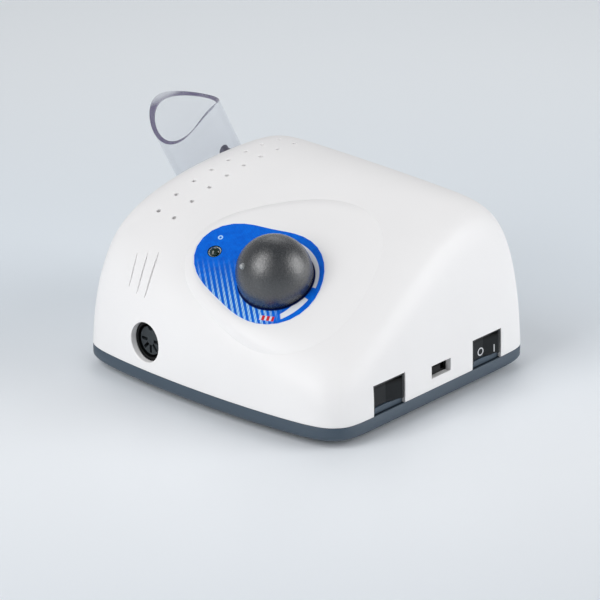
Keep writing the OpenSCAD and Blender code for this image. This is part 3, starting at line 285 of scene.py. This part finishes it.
class Sock:
    """A shader socket with arithmetic; numbers on either side become constants."""

    def __init__(self, tree, out):
        self.tree, self.out = tree, out

    def node(self, kind, inputs=(), out=0, **props):
        """Adds a node, sets its properties, feeds its inputs by index or name, and returns one output."""
        n = self.tree.nodes.new(kind)
        for k, v in props.items():
            setattr(n, k, v)
        for k, v in dict(inputs).items():
            if isinstance(v, Sock):
                self.tree.links.new(v.out, n.inputs[k])
            else:
                n.inputs[k].default_value = v
        return Sock(self.tree, n.outputs[out])

    def math(self, op, *args):
        """A Math node of sockets and numbers."""
        return self.node("ShaderNodeMath", dict(enumerate(args)), operation=op)

    def __neg__(self):
        return self.math("MULTIPLY", self, -1.0)

    def __abs__(self):
        return self.math("ABSOLUTE", self)

    def low(self, o):
        """The lesser of two values."""
        return self.math("MINIMUM", self, o)

    def high(self, o):
        """The greater of two values."""
        return self.math("MAXIMUM", self, o)

    def sin(self):
        return self.math("SINE", self)

    def root(self):
        """Square root, 0 below 0."""
        return self.math("SQRT", self.high(0.0))

    def square(self):
        return self.math("MULTIPLY", self, self)

    def step(self, a, b):
        """Smooth 0 to 1 as the value goes from a to b, which may run downwards."""
        return self.node("ShaderNodeMapRange", {0: self, 1: a, 2: b}, interpolation_type="SMOOTHSTEP")

    def mix(self, a, b):
        """Colour a where the value is 0 and b where it is 1."""
        return self.node("ShaderNodeMix", {0: self, 6: a, 7: b}, out=2, data_type="RGBA")

    def noise(self, scale, detail=2.0, rough=0.5):
        """Noise of the vector, about 0 to 1, in cycles per metre."""
        inputs = {"Vector": self, "Scale": scale, "Detail": detail, "Roughness": rough}
        return self.node("ShaderNodeTexNoise", inputs)

    def split(self):
        """The three parts of a vector."""
        n = self.node("ShaderNodeSeparateXYZ", {0: self})
        return [Sock(self.tree, s) for s in n.out.node.outputs]


OPERATORS = {"add": "ADD", "sub": "SUBTRACT", "mul": "MULTIPLY", "truediv": "DIVIDE", "pow": "POWER"}
for word, op in OPERATORS.items():
    setattr(Sock, f"__{word}__", lambda self, o, op=op: self.math(op, self, o))
    setattr(Sock, f"__r{word}__", lambda self, o, op=op: self.math(op, o, self))


def srgb(r, g, b):
    """A colour written as on screen, 0 to 255, made linear."""
    c = np.array([r, g, b]) / 255
    lin = np.where(c <= 0.04045, c / 12.92, ((c + 0.055) / 1.055) ** 2.4)
    return (*lin, 1.0)


def material(name, paint, **fixed):
    """A Principled material: paint(place) returns its varying inputs, with "Bump" as (height, metres)."""
    m = bpy.data.materials.new(name)
    m.use_nodes = True
    tree = m.node_tree
    shader = tree.nodes["Principled BSDF"]
    place = Sock(tree, tree.nodes.new("ShaderNodeTexCoord").outputs["Object"])
    for key, value in fixed.items():
        shader.inputs[key.replace("_", " ")].default_value = value
    for key, value in paint(place).items():
        if key == "Bump":
            height, reach = value
            value = place.node("ShaderNodeBump", {"Height": height, "Distance": reach, "Strength": 1.0})
            key = "Normal"
        tree.links.new(value.out, shader.inputs[key])
    return m


def plain(name, colour, rough, grain=900.0, depth=0.00002, vary=0.05, **fixed):
    """A moulded or metal finish: a colour that drifts a little, uneven gloss and a fine raised grain."""
    dark = tuple(c * (1 - vary) for c in colour[:3]) + (1.0,)

    def paint(place):
        drift = place.noise(60.0, 3.0)
        fine = place.noise(grain, 2.0)
        return {
            "Base Color": drift.mix(dark, colour),
            "Roughness": (drift - 0.5) * 0.08 + (fine - 0.5) * 0.06 + rough,
            "Bump": (fine, depth),
        }
    return material(name, paint, **fixed)


def pad_place(place):
    """Pad coordinates in millimetres of an object-space place."""
    x, y, z = place.split()
    o, a, b = PAD_O * MM, E1 / MM, E2 / MM
    p = (x - o[0]) * a[0] + (y - o[1]) * a[1]
    q = (x - o[0]) * b[0] + (y - o[1]) * b[1] + (z - o[2]) * b[2]
    return p, q


def white_paint(place):
    """Satin white with a very fine grain."""
    fine = place.noise(1500.0, 2.0)
    drift = place.noise(30.0, 2.0)
    return {
        "Base Color": drift.mix(srgb(242, 241, 241), srgb(236, 235, 235)),
        "Roughness": (fine - 0.5) * 0.1 + 0.42,
        "Bump": (fine, 0.000012),
    }


def distance(place, spot):
    """Distance from the sockets in place to the numbers in spot: the root of the sum of (a - b)^2."""
    return sum((a - b).square() for a, b in zip(place, spot)).root()


def stripe_mask(p, q):
    """Slanting stripes p + STRIPE_SLANT q = const, dotted by a twill, that fade in towards the lower edge."""
    wave = ((p + q * STRIPE_SLANT + STRIPE_SHIFT) * (2 * math.pi / STRIPE_PITCH)).sin() * 0.5 + 0.5
    twill = ((q * 2.0 + p) * 3.4).sin() * ((q * 2.0 - p) * 3.4).sin() * 0.5 + 0.5
    fade = (q - p * 0.06).step(9.0, -12.0) * (p - q * 0.1).step(9.0, 1.0)
    low = (q + p * 0.1).step(-6.0, -17.0)
    return (wave + low * 0.2).step(0.5, 0.95) * fade * (twill * 1.2 + 0.12).low(1.0)


def scale_mask(p, q, radius):
    """Scale round the knob: a band whose inner and outer radius grow with the angle from E1, in degrees,
    in two stretches with a gap between them."""
    turn = q.math("ARCTAN2", q, p) * (180 / math.pi)
    up, down = turn.high(0.0), (-turn).high(0.0)
    outer = (up / 85.0) ** 2.0 * 2.1 + (down / 67.0) ** 2.0 * 2.9 + 16.2
    inner = ((up - 25.0).high(0.0) / 60.0) ** 1.6 * 4.4 + ((down - 42.0).high(0.0) / 28.0) * 3.1 + 13.9
    band = (radius - inner).step(-0.12, 0.12) * (outer - radius).step(-0.12, 0.12)
    upper = turn.step(86.0, 84.0) * turn.step(-8.0, -6.5)
    lower = turn.step(-26.5, -28.0) * turn.step(-69.0, -67.0)
    return band * (upper + lower)


def print_paint(place):
    """Blue film: a fine weave with pale stripes, a white scale, a red and white end mark, a painted shadow
    round the foot of the knob, a small ring, and a dark green ring round the lamp painted as shade in its
    hole."""
    p, q = pad_place(place)
    radius = distance((p, q), (0.0, 0.0))
    weave = ((p + q) * 5.2).sin() * ((p - q) * 5.2).sin()
    cloud = place.noise(420.0, 3.0, 0.7)
    face = (weave * 0.2 + cloud).mix(srgb(0, 72, 188), srgb(2, 122, 240))
    face = stripe_mask(p, q).mix(face, srgb(182, 228, 255))
    face = scale_mask(p, q, radius).mix(face, srgb(226, 229, 238))
    bars = ((p - MARK_X) * (2 * math.pi / MARK_PITCH)).sin().step(-0.75, 0.1)
    wide = abs(p - MARK_X).step(MARK_HALF_W, MARK_HALF_W - 0.2)
    tall = abs(q - MARK_Y).step(MARK_HALF_H, MARK_HALF_H - 0.3)
    face = (wide * tall).mix(face, bars.mix(srgb(214, 226, 244), srgb(206, 44, 52)))
    # painted shadow: a dark navy round under the knob that shows as a thin ring round its foot
    face = radius.step(KNOB_R + 0.6, KNOB_R + 0.3).mix(face, srgb(3, 22, 78))
    ring = abs(distance((p, q), (RING_X, RING_Y)) - RING_R)
    face = (ring.step(0.35, 0.15) * 0.85).mix(face, srgb(190, 228, 255))
    lamp = distance((p, q), (LAMP_X, LAMP_Y))
    # painted shade: a dark green ring round the lamp stands for the shade in its hole
    face = lamp.step(LAMP_R + 0.7, LAMP_R + 0.4).mix(face, srgb(4, 40, 36))
    return {"Base Color": face, "Roughness": weave * 0.03 + 0.4, "Bump": (weave * 0.02, 0.001)}


def knob_paint(place):
    """Dark grey, half gloss, with a fine grain that breaks up the light, and the pointer nub painted paler as
    a painted highlight.
    """
    drift = place.noise(150.0, 2.0)
    grain = place.noise(1600.0, 3.0, 0.65)
    # painted highlight: the whole nub is painted paler to stand for its bright spot
    dot = distance(place.split(), NUB * MM).step((NUB_R + 0.2) * MM, (NUB_R + 0.05) * MM)
    face = (drift * 0.5 + grain * 0.5).mix(srgb(29, 32, 35), srgb(43, 46, 50))
    return {
        "Base Color": dot.mix(face, srgb(150, 154, 156)),
        "Roughness": (grain - 0.5) * 0.3 + (drift - 0.5) * 0.1 - dot * 0.1 + 0.28,
        "Bump": (grain, 0.00016),
    }


def switch_paint(place, rocker=False, marks=False):
    """Satin black; on a rocker the face is painted darker under the top of its opening as painted shadow, and
    marks are a white ring and bar.
    """
    x, y, z = place.split()
    fine = place.noise(1400.0, 2.0)
    face = place.noise(90.0).mix(srgb(26, 29, 31), srgb(33, 36, 39))
    if rocker:
        # painted shadow: the rocker face darkens towards the top of its opening, where the opening's upper
        # edge would shade it
        face = (z / MM).step(17.6, 19.2).mix(face, srgb(9, 10, 11))
    if marks:
        along, up = y / MM - ROCKER_Y[1], z / MM - ROCKER_MARK_Z
        ring = ((along + 2.0).square() / 1.2 + up.square()).root() - 1.4
        bar = abs(along - 4.5).step(0.25, 0.18) * abs(up).step(1.6, 1.45)
        out = (x / MM).step(63.6, 63.9)
        face = ((abs(ring).step(0.28, 0.18) + bar).low(1.0) * out).mix(face, srgb(214, 216, 219))
    return {"Base Color": face, "Roughness": (fine - 0.5) * 0.12 + 0.38, "Bump": (fine, 0.00003)}


def clear_paint(place):
    """Clear tube: nearly unseen walls, a little denser downwards as painted shadow of the case and along two
    sides as painted shade at the tube's edges, and a violet-grey edge at the lower end and along the hollow
    mouth z = R - sqrt(R^2 - x^2) less half its rise, in the tube's own frame."""
    x, y, z = place.split()
    across = x / MM - TUBE_X
    along = (z / MM - MOUTH_Z) * math.cos(TUBE_LEAN) - (y / MM - MOUTH_Y) * math.sin(TUBE_LEAN)
    mouth = MOUTH_CUT - MOUTH_RISE / 2 - (MOUTH_CUT ** 2 - across.square()).root()
    rim = (mouth - along).step(0.7, 0.1)
    end = (along + TUBE_LEN).step(0.6, 0.1)
    streak = place.noise(140.0, 2.0)
    back = (y / MM - MOUTH_Y) * math.cos(TUBE_LEAN) + (z / MM - MOUTH_Z) * math.sin(TUBE_LEAN)
    thin = (back * 0.25 - across * 0.97).step(0.8 * TUBE_R, 0.98 * TUBE_R)
    outer = distance((across, back), (0.0, 0.0)).step(TUBE_R - 0.6, TUBE_R - 0.3)
    side = abs(across * 0.57 + back * 0.82).step(0.75 * TUBE_R, TUBE_R)
    # painted shade: the walls are denser towards the lower end, as shadow of the case, and at two sides that
    # face across the view, as edge shade
    wall = outer * (along.step(0.0, -40.0) * 0.1 + streak * 0.04 + side * 0.09 + 0.06) + 0.015
    edge = rim.high(end)
    return {
        "Base Color": edge.mix(srgb(176, 184, 200), srgb(82, 72, 108)),
        "Alpha": wall.high(edge * (streak * 0.3 + 0.68 - thin * 0.62)),
        "Roughness": streak * 0.05 + 0.08,
    }


def floor_paint(place):
    """Pale table with painted light and shade: darkest close to the camera, paler before the box, a little
    bluer beside it and palest far behind."""
    x, y = place.split()[:2]
    depth = y * math.cos(VIEW_TURN) - x * math.sin(VIEW_TURN)
    # painted light and shade: the tone rises from near the camera to far behind
    front = depth.step(-0.28, -0.08)
    side = depth.step(-0.08, 0.10)
    far = depth.step(0.08, 0.5)
    cloud = place.noise(3.0, 2.0)
    tone = side.mix(front.mix(srgb(219, 225, 231), srgb(240, 244, 248)), srgb(233, 241, 248))
    tone = far.mix(tone, srgb(246, 251, 255))
    return {"Base Color": (cloud * 0.08).mix(tone, srgb(236, 238, 241)), "Roughness": cloud * 0.1 + 0.38}


WHITE = material("white_case", white_paint, IOR=1.46)
TRAY = plain("grey_tray", srgb(62, 77, 91), 0.45)
PRINT = material("blue_print", print_paint, Specular_IOR_Level=0.12)
KNOB = material("dark_knob", knob_paint, Specular_IOR_Level=1.0, Coat_Weight=0.35, Coat_IOR=1.6,
                Coat_Roughness=0.3)
BLACK = material("black_plastic", switch_paint, Specular_IOR_Level=0.35)
SHROUD = plain("socket_black", srgb(12, 13, 15), 0.5, Specular_IOR_Level=0.2)
# both rocker materials carry the painted shadow under the top of the opening
ROCKER = material("rocker", lambda place: switch_paint(place, True), Specular_IOR_Level=0.15)
MARKED = material("marked_rocker", lambda place: switch_paint(place, True, True), Specular_IOR_Level=0.15)
INSERT = plain("socket_grey", srgb(48, 54, 58), 0.5, Specular_IOR_Level=0.3)
RUBBER = plain("rubber", srgb(48, 49, 51), 0.75, depth=0.00005)
STEEL = plain("screw_steel", srgb(190, 191, 194), 0.3, Metallic=1.0)
DARK_STEEL = plain("dark_screw", srgb(98, 96, 110), 0.4, Metallic=0.6)
BRASS = plain("brass", srgb(205, 178, 110), 0.32, Metallic=1.0)
LENS = plain("green_lens", srgb(2, 34, 22), 0.12, depth=0.000005, Coat_Weight=0.6)
CLEAR = material("clear_tube", clear_paint, Specular_IOR_Level=0.35)
CORE = plain("core_steel", srgb(104, 100, 94), 0.5, Metallic=0.5)
COIL = plain("coil", srgb(176, 108, 52), 0.5)
BOARD = plain("board", srgb(38, 104, 62), 0.5)
CAN = plain("capacitor", srgb(32, 48, 74), 0.35)
SINK = plain("sink", srgb(58, 58, 60), 0.45, Metallic=0.7)
GLASS = plain("fuse_glass", srgb(225, 235, 235), 0.08, depth=0.000002, Transmission_Weight=0.8)

BY_SLOT = {
    "white_case": WHITE, "grey_tray": TRAY, "rubber": RUBBER, "screw_steel": STEEL, "dark_screw": DARK_STEEL,
    "blue_print": PRINT, "green_lens": LENS, "dark_knob": KNOB, "black_plastic": BLACK, "socket_grey": INSERT,
    "brass": BRASS, "clear_tube": CLEAR, "core_steel": CORE, "coil": COIL, "board": BOARD, "capacitor": CAN,
    "sink": SINK, "fuse_glass": GLASS,
}
BY_NODE = {
    "power_rocker": MARKED, "direction_rocker": ROCKER, "motor_socket_body": SHROUD, "mode_slider": SHROUD,
    "mode_switch_body": SHROUD,
}


def finish_nodes():
    """Gives every CAD node its own material, or the one of its slot in the record."""
    slots = {s["node"]: s["material_slot"] for s in frame["record"]["subparts"]}
    for name, o in frame["nodes"].items():
        o.data.materials.clear()
        o.data.materials.append(BY_NODE.get(name) or BY_SLOT[slots[name]])


# Pieces

def gathered(count, share, turns):
    """Angles of a full turn, closest where cos(turns u) = -1: u + share sin(turns u) / turns."""
    u = np.linspace(0, 2 * np.pi, count, endpoint=False)
    return u + share * np.sin(turns * u) / turns


def seam_ring(az, z, inset=0.0, share=1.0):
    """The parting outline at height z, inset and drawn towards the middle: share * case_points(az, 0)."""
    ring = case_points(az, np.zeros((1, 1)), inset) * share
    ring[..., 2] = z
    return ring


def make_shell():
    """Closed shell: case_points outside, the same inset by WALL inside, a small round at the parting line."""
    az = gathered(400, 0.5, 4)[:, None]
    el = np.linspace(np.pi / 2, 0, 150)[None, :]
    el = el + 0.3 * np.sin(4 * el) / 4
    outer = case_points(az, el)[:, :-1]
    k = np.linspace(0, np.pi / 2, 4)
    rim = [seam_ring(az, SEAM + SEAM_ROUND * (1 - np.sin(a)), SEAM_ROUND * (1 - np.cos(a))) for a in k]
    inner = case_points(az, np.linspace(0, np.pi / 2, 30)[None, :], WALL)
    mesh = mesh_of("shell_skin", [sheet(np.concatenate([outer, *rim, inner], 1), wrap=True)])
    shell = new_object("shell_skin", mesh, "case", WHITE, ["upper_shell"])
    cut(shell, shell_cutters(), 40)


def right_wall(y, z):
    """Frame of a place on the right wall at height z over the parting line: x out, y to the rear."""
    o = np.array([HALF_W - RIGHT_CURVE * z * z, y, SEAM + z])
    lean = math.atan(2 * RIGHT_CURVE * z)
    ex = np.array([math.cos(lean), 0, math.sin(lean)])
    ez = np.array([-math.sin(lean), 0, math.cos(lean)])
    return lambda a, b, c: o + a[..., None] * ex + b[..., None] * np.array([0, 1, 0]) + c[..., None] * ez


def rear_wall(x, z):
    """Frame of a place on the rear wall: y out."""
    o = np.array([x, REAR - math.tan(REAR_DRAFT) * z, SEAM + z])
    ey = np.array([0, math.cos(REAR_DRAFT), math.sin(REAR_DRAFT)])
    ez = np.array([0, -math.sin(REAR_DRAFT), math.cos(REAR_DRAFT)])
    return lambda a, b, c: o + a[..., None] * np.array([1, 0, 0]) + b[..., None] * ey + c[..., None] * ez


def flared(r, deep, flare):
    """Profile of a drilled hole with a small round at its mouth, from the axis inside to the axis outside."""
    k = np.linspace(0, np.pi / 2, 5)
    mouth = np.stack([r + flare * (1 - np.cos(k)), flare * (np.sin(k) - 1)], -1)
    return np.concatenate([[(0, -deep), (r, -deep)], mouth, [(r + flare + 0.6, 0.6), (0, 0.6)]])


def groove_part(x0, half, depth):
    """A narrow groove down the front arch: the line x = x0 - 0.13 s - 0.018 s^2 at the heights GROOVE_Z + s,
    with a slot across it that is depth sqrt(1 - u^4) deep, where u runs from -1 to 1 along the line."""
    u = np.linspace(-1, 1, 33)
    s = half * u
    start = np.stack([x0 - 0.13 * s - 0.018 * s * s, 0 * s - 90, s + GROOVE_Z], -1)
    line = case_hit(start, np.array([0, 1.0, 0]), 0, 80)
    out = case_normals(line)
    side = np.cross(np.gradient(line, axis=0), out)
    side /= np.linalg.norm(side, axis=-1, keepdims=True)
    sink = depth * np.sqrt(np.maximum(1 - u ** 4, 0.02))
    corners = [(-0.45, 0.5 + 0 * u), (0.45, 0.5 + 0 * u), (0.25, -sink), (-0.25, -sink)]
    return rod_part(np.stack([line + w * side + h[:, None] * out for w, h in corners], 1))


def shell_cutters():
    """Openings of the shell: switches, sockets, the two rows of vents and the three grooves."""
    rocker = (-8, -ROCKER_HALF, -ROCKER_TOP), (5, ROCKER_HALF, ROCKER_TOP - ROCKER_Z)
    slide = (-7, -SLIDE_HALF_L, -SLIDE_HALF_H), (3, SLIDE_HALF_L, SLIDE_HALF_H)
    inlet = (-INLET_HALF_W, -8, -INLET_HALF_H), (INLET_HALF_W, 8, INLET_HALF_H)
    parts = [box_part(right_wall(y, ROCKER_Z), *rocker) for y in ROCKER_Y]
    parts.append(box_part(right_wall(SLIDE_Y, SLIDE_Z), *slide))
    parts.append(box_part(rear_wall(INLET_X, INLET_Z), *inlet))
    jack = rear_wall(JACK_X, JACK_Z)
    parts.append(revolve(flared(JACK_R, 8, 0.3), lambda a, b, c: jack(a, c, b), 48))
    spot = case_hit(np.array([MOTOR_X, -80.0, SEAM + MOTOR_Z]), np.array([0, 1.0, 0]), 0, 40)
    turn = math.atan(2 * BOW * MOTOR_X / HALF_W ** 2)
    axis = np.array([math.sin(turn), -math.cos(turn), 0])
    parts.append(revolve(flared(MOTOR_R, 8, 0.2), frame_at(spot, axis), 96))
    for x in VENT_X:
        for k in range(VENT_COUNT):
            top = case_hit(np.array([x, VENT_Y + VENT_PITCH * k, 110.0]), np.array([0, 0, -1.0]), 0, 80)
            parts.append(revolve(flared(VENT_R, 5, 0.25), frame_at(top, case_normals(top)), 24))
    return parts + [groove_part(*g) for g in GROOVES]


def make_pad():
    """Raised pad: flat inside the overlay's edge, then falling to the case by h b^1.6, where b is the share
    of the way to the pad's own edge and h the depth of the case below the flat there; past the edge it
    dives under."""
    t = np.linspace(0, 2 * np.pi, 360, endpoint=False)[:, None]
    b = np.concatenate([np.linspace(0, 1, 60), [1.012, 1.03, 1.06]])[None, :]
    ax, ay = overlay_edge(t, 0.8)
    cx, cy = pad_edge(t)
    x, y = ax + b * (cx - ax), ay + b * (cy - ay)
    flat = on_pad(x, y, 0 * x)
    depth = -((case_hit(flat, -PAD_N, -6, 30) - flat) @ PAD_N)
    rise = np.where(b <= 1, depth * (1 - b ** 1.6), -(b - 1) * 14)
    z = -depth + rise
    inner = np.linspace(0, 1, 12, endpoint=False)[None, :]
    x = np.concatenate([OVERLAY_X + inner * (ax - OVERLAY_X), x], 1)
    y = np.concatenate([OVERLAY_Y + inner * (ay - OVERLAY_Y), y], 1)
    z = np.concatenate([z[:, :1] + 0 * inner, z], 1)
    mesh = mesh_of("control_pad", [sheet(on_pad(x, y, z), wrap=True)])
    new_object("control_pad", mesh, "case", WHITE)


def make_tray():
    """Tray: the parting outline, inset below by a quarter of an ellipse with the half axes TRAY_ROUND (level)
    and TRAY_DROP (upright), closed by its floor and top; under each rocker runs a narrow groove."""
    az = gathered(360, 0.5, 4)[:, None]
    k = np.linspace(0, np.pi / 2, 12)
    rings = [seam_ring(az, TRAY_Z, share=share) for share in (0.0, 0.5)]
    rings += [seam_ring(az, TRAY_Z + TRAY_DROP * (1 - np.cos(a)), TRAY_ROUND * (1 - np.sin(a))) for a in k]
    rim = (SEAM - SEAM_ROUND, 0.0), (SEAM - 0.1, 0.12), (SEAM, SEAM_ROUND), (SEAM - 0.02, 4.0)
    rings += [seam_ring(az, z, inset) for z, inset in rim]
    rings += [seam_ring(az, SEAM - 0.02, share=share) for share in (0.5, 0.0)]
    mesh = mesh_of("tray_skin", [sheet(np.concatenate(rings, 1), wrap=True)])
    tray = new_object("tray_skin", mesh, "case", TRAY, ["base_tray"])
    level = right_wall(0.0, 0.0)
    grooves = [box_part(level, (-1.4, y - ROCKER_HALF, -1.2), (-0.8, y + ROCKER_HALF, 1)) for y in ROCKER_Y]
    cut(tray, grooves, 35)


def make_sills():
    """Sills of the tray under the rockers: a flat top at SILL_H, with a front lip that is 0.7 mm higher from
    near one end to the middle and then falls to the other end."""
    along = np.array([-8.8, -7.6, -7.6, 0, 8.8])[:, None]
    lip = SILL_H + np.array([0, 0, 0.7, 0.7, 0])[:, None]
    foot, flat = 0 * along - 1, SILL_H + 0 * along
    out = np.array([-1.4, -1.4, -2.4, -2.4, -4.4, -4.4]) + 0 * along
    high = np.concatenate([foot, lip, lip, flat, flat, foot], 1)
    level = right_wall(0.0, 0.0)
    sills = [rod_part(level(out, y + along + 0 * out, high)) for y in ROCKER_Y]
    new_object("rocker_sills", mesh_of("rocker_sills", sills), "case", TRAY)


def make_knob():
    """Knob: half a ball of radius KNOB_R, (R cos a, h + R sin a), on a short straight side, hollow below,
    with a small round nub as its pointer."""
    base = OVERLAY_T + KNOB_GAP
    rim = KNOB_R - 0.1
    foot = [(0, base + 3), (rim - 2, base + 3), (rim - 2, base), (rim - 0.4, base), (rim - 0.1, base + 0.1),
            (rim, base + 0.4)]
    a = np.linspace(0, np.pi / 2, 64)
    ball = np.stack([KNOB_R * np.cos(a), KNOB_MID + KNOB_R * np.sin(a)], -1)
    b = np.linspace(0, np.pi, 16)
    nub = np.stack([NUB_R * np.sin(b), -NUB_R * np.cos(b)], -1)
    parts = [revolve(np.concatenate([foot, ball]), on_pad, 128), revolve(nub, frame_at(NUB, PAD_N, E1), 24)]
    new_object("knob_skin", mesh_of("knob_skin", parts), "knob", KNOB, ["speed_knob"])


def make_tube():
    """Clear tube about an axis that leans forward: a profile of radius r, share of the length and lift, which
    runs up the outside, over the rim, down the inside and under the lower end; the rim follows a cylinder
    across the mouth, z = R - sqrt(R^2 - x^2) less half its rise."""
    lean = np.array([0, -math.sin(TUBE_LEAN), math.cos(TUBE_LEAN)])
    place = frame_at((TUBE_X, MOUTH_Y, MOUTH_Z), lean, (1, 0, 0))
    t = np.linspace(0, 2 * np.pi, 160, endpoint=False)[:, None]
    up = np.linspace(0, 1, 24)[1:-1]
    k = np.linspace(0, np.pi / 2, 5)
    fall, turn = TUBE_EDGE * (1 - np.sin(k)), TUBE_EDGE * (1 - np.cos(k))
    r_in, wall, ends = TUBE_R - TUBE_WALL, np.ones(len(up)), np.ones(2 * len(k))
    rim = [TUBE_R - turn, r_in + fall]
    r = np.concatenate([TUBE_R * wall, *rim, r_in * wall, np.concatenate(rim)[::-1]])
    share = np.concatenate([up, ends, up[::-1], 0 * ends])
    lift = np.concatenate([0 * wall, -fall, -turn, 0 * wall, turn[::-1], fall[::-1]])
    x, y = r * np.cos(t), r * np.sin(t)
    mouth = MOUTH_CUT - np.sqrt(MOUTH_CUT ** 2 - x ** 2) - MOUTH_RISE / 2
    z = share * (mouth + TUBE_LEN) - TUBE_LEN + lift
    skin = place(x, y, z)
    mesh = mesh_of("tube_skin", [sheet(np.concatenate([skin, skin[:, :1]], 1), wrap=True)], weld=1e-8)
    new_object("tube_skin", mesh, "case", CLEAR, ["holder_tube"])


finish_nodes()
make_shell()
make_pad()
make_tray()
make_sills()
make_knob()
make_tube()


# Studio

def make_table():
    """Plain pale table."""
    bpy.ops.mesh.primitive_plane_add(size=6.0)
    floor = bpy.context.object
    floor.name = "table"
    floor.data.materials.append(material("table", floor_paint))


def make_surround():
    """Grey surround, paler near the horizon."""
    world = bpy.data.worlds.new("surround")
    bpy.context.scene.world = world
    world.use_nodes = True
    tree = world.node_tree
    up = Sock(tree, tree.nodes.new("ShaderNodeTexCoord").outputs["Generated"]).split()[2]
    sky = up.step(0.1, 1.0).mix(srgb(178, 179, 181), srgb(133, 134, 136))
    tree.links.new(sky.out, tree.nodes["Background"].inputs[0])


def soft_box(name, place, aim, size, power):
    """A rectangular area light at a place, in metres and watts, that looks at aim."""
    light = bpy.data.lights.new(name, "AREA")
    light.shape, light.size, light.size_y, light.energy = "RECTANGLE", *size, power
    o = bpy.data.objects.new(name, light)
    bpy.context.scene.collection.objects.link(o)
    o.location = place
    o.rotation_euler = (Vector(aim) - Vector(place)).to_track_quat("-Z", "Y").to_euler()


def make_lights():
    """Soft boxes: one high in front and one below it, one behind on the right, one over the table behind."""
    middle = (0, 0, 0.03)
    soft_box("front_box", (-0.18, -0.82, 0.85), middle, (0.6, 0.8), 5.5)
    soft_box("low_box", (-0.08, -1.05, 0.48), middle, (0.5, 0.42), 2.75)
    soft_box("rear_box", (0.92, 0.6, 0.5), middle, (0.8, 0.85), 7.8)
    soft_box("back_box", (-0.5, 0.56, 0.7), (-0.5, 0.56, 0), (0.6, 0.5), 1.2)


def make_camera():
    """Camera as fitted to the photograph, VIEW_TURN to the right of the front and VIEW_RISE up: r, u and b
    are its right, up and back."""
    turn, rise = VIEW_TURN, VIEW_RISE
    r = Vector((math.cos(turn), math.sin(turn), 0))
    u = Vector((-math.sin(turn) * math.sin(rise), math.cos(turn) * math.sin(rise), math.cos(rise)))
    b = Vector((math.sin(turn) * math.cos(rise), -math.cos(turn) * math.cos(rise), math.sin(rise)))
    cam = bpy.data.objects.new("camera", bpy.data.cameras.new("camera"))
    bpy.context.scene.collection.objects.link(cam)
    place = Matrix.Translation((r * AIM_RIGHT + u * AIM_UP + b * VIEW_FAR) * MM)
    cam.matrix_world = place @ Matrix((r, u, b)).transposed().to_4x4()
    cam.data.sensor_width, cam.data.lens = SENSOR, FOCAL_PX / PICTURE_PX * SENSOR
    cam.data.clip_start, cam.data.clip_end = 0.05, 20.0
    bpy.context.scene.camera = cam


make_table()
make_surround()
make_lights()
make_camera()
bpy.context.scene.view_settings.view_transform = "Standard"
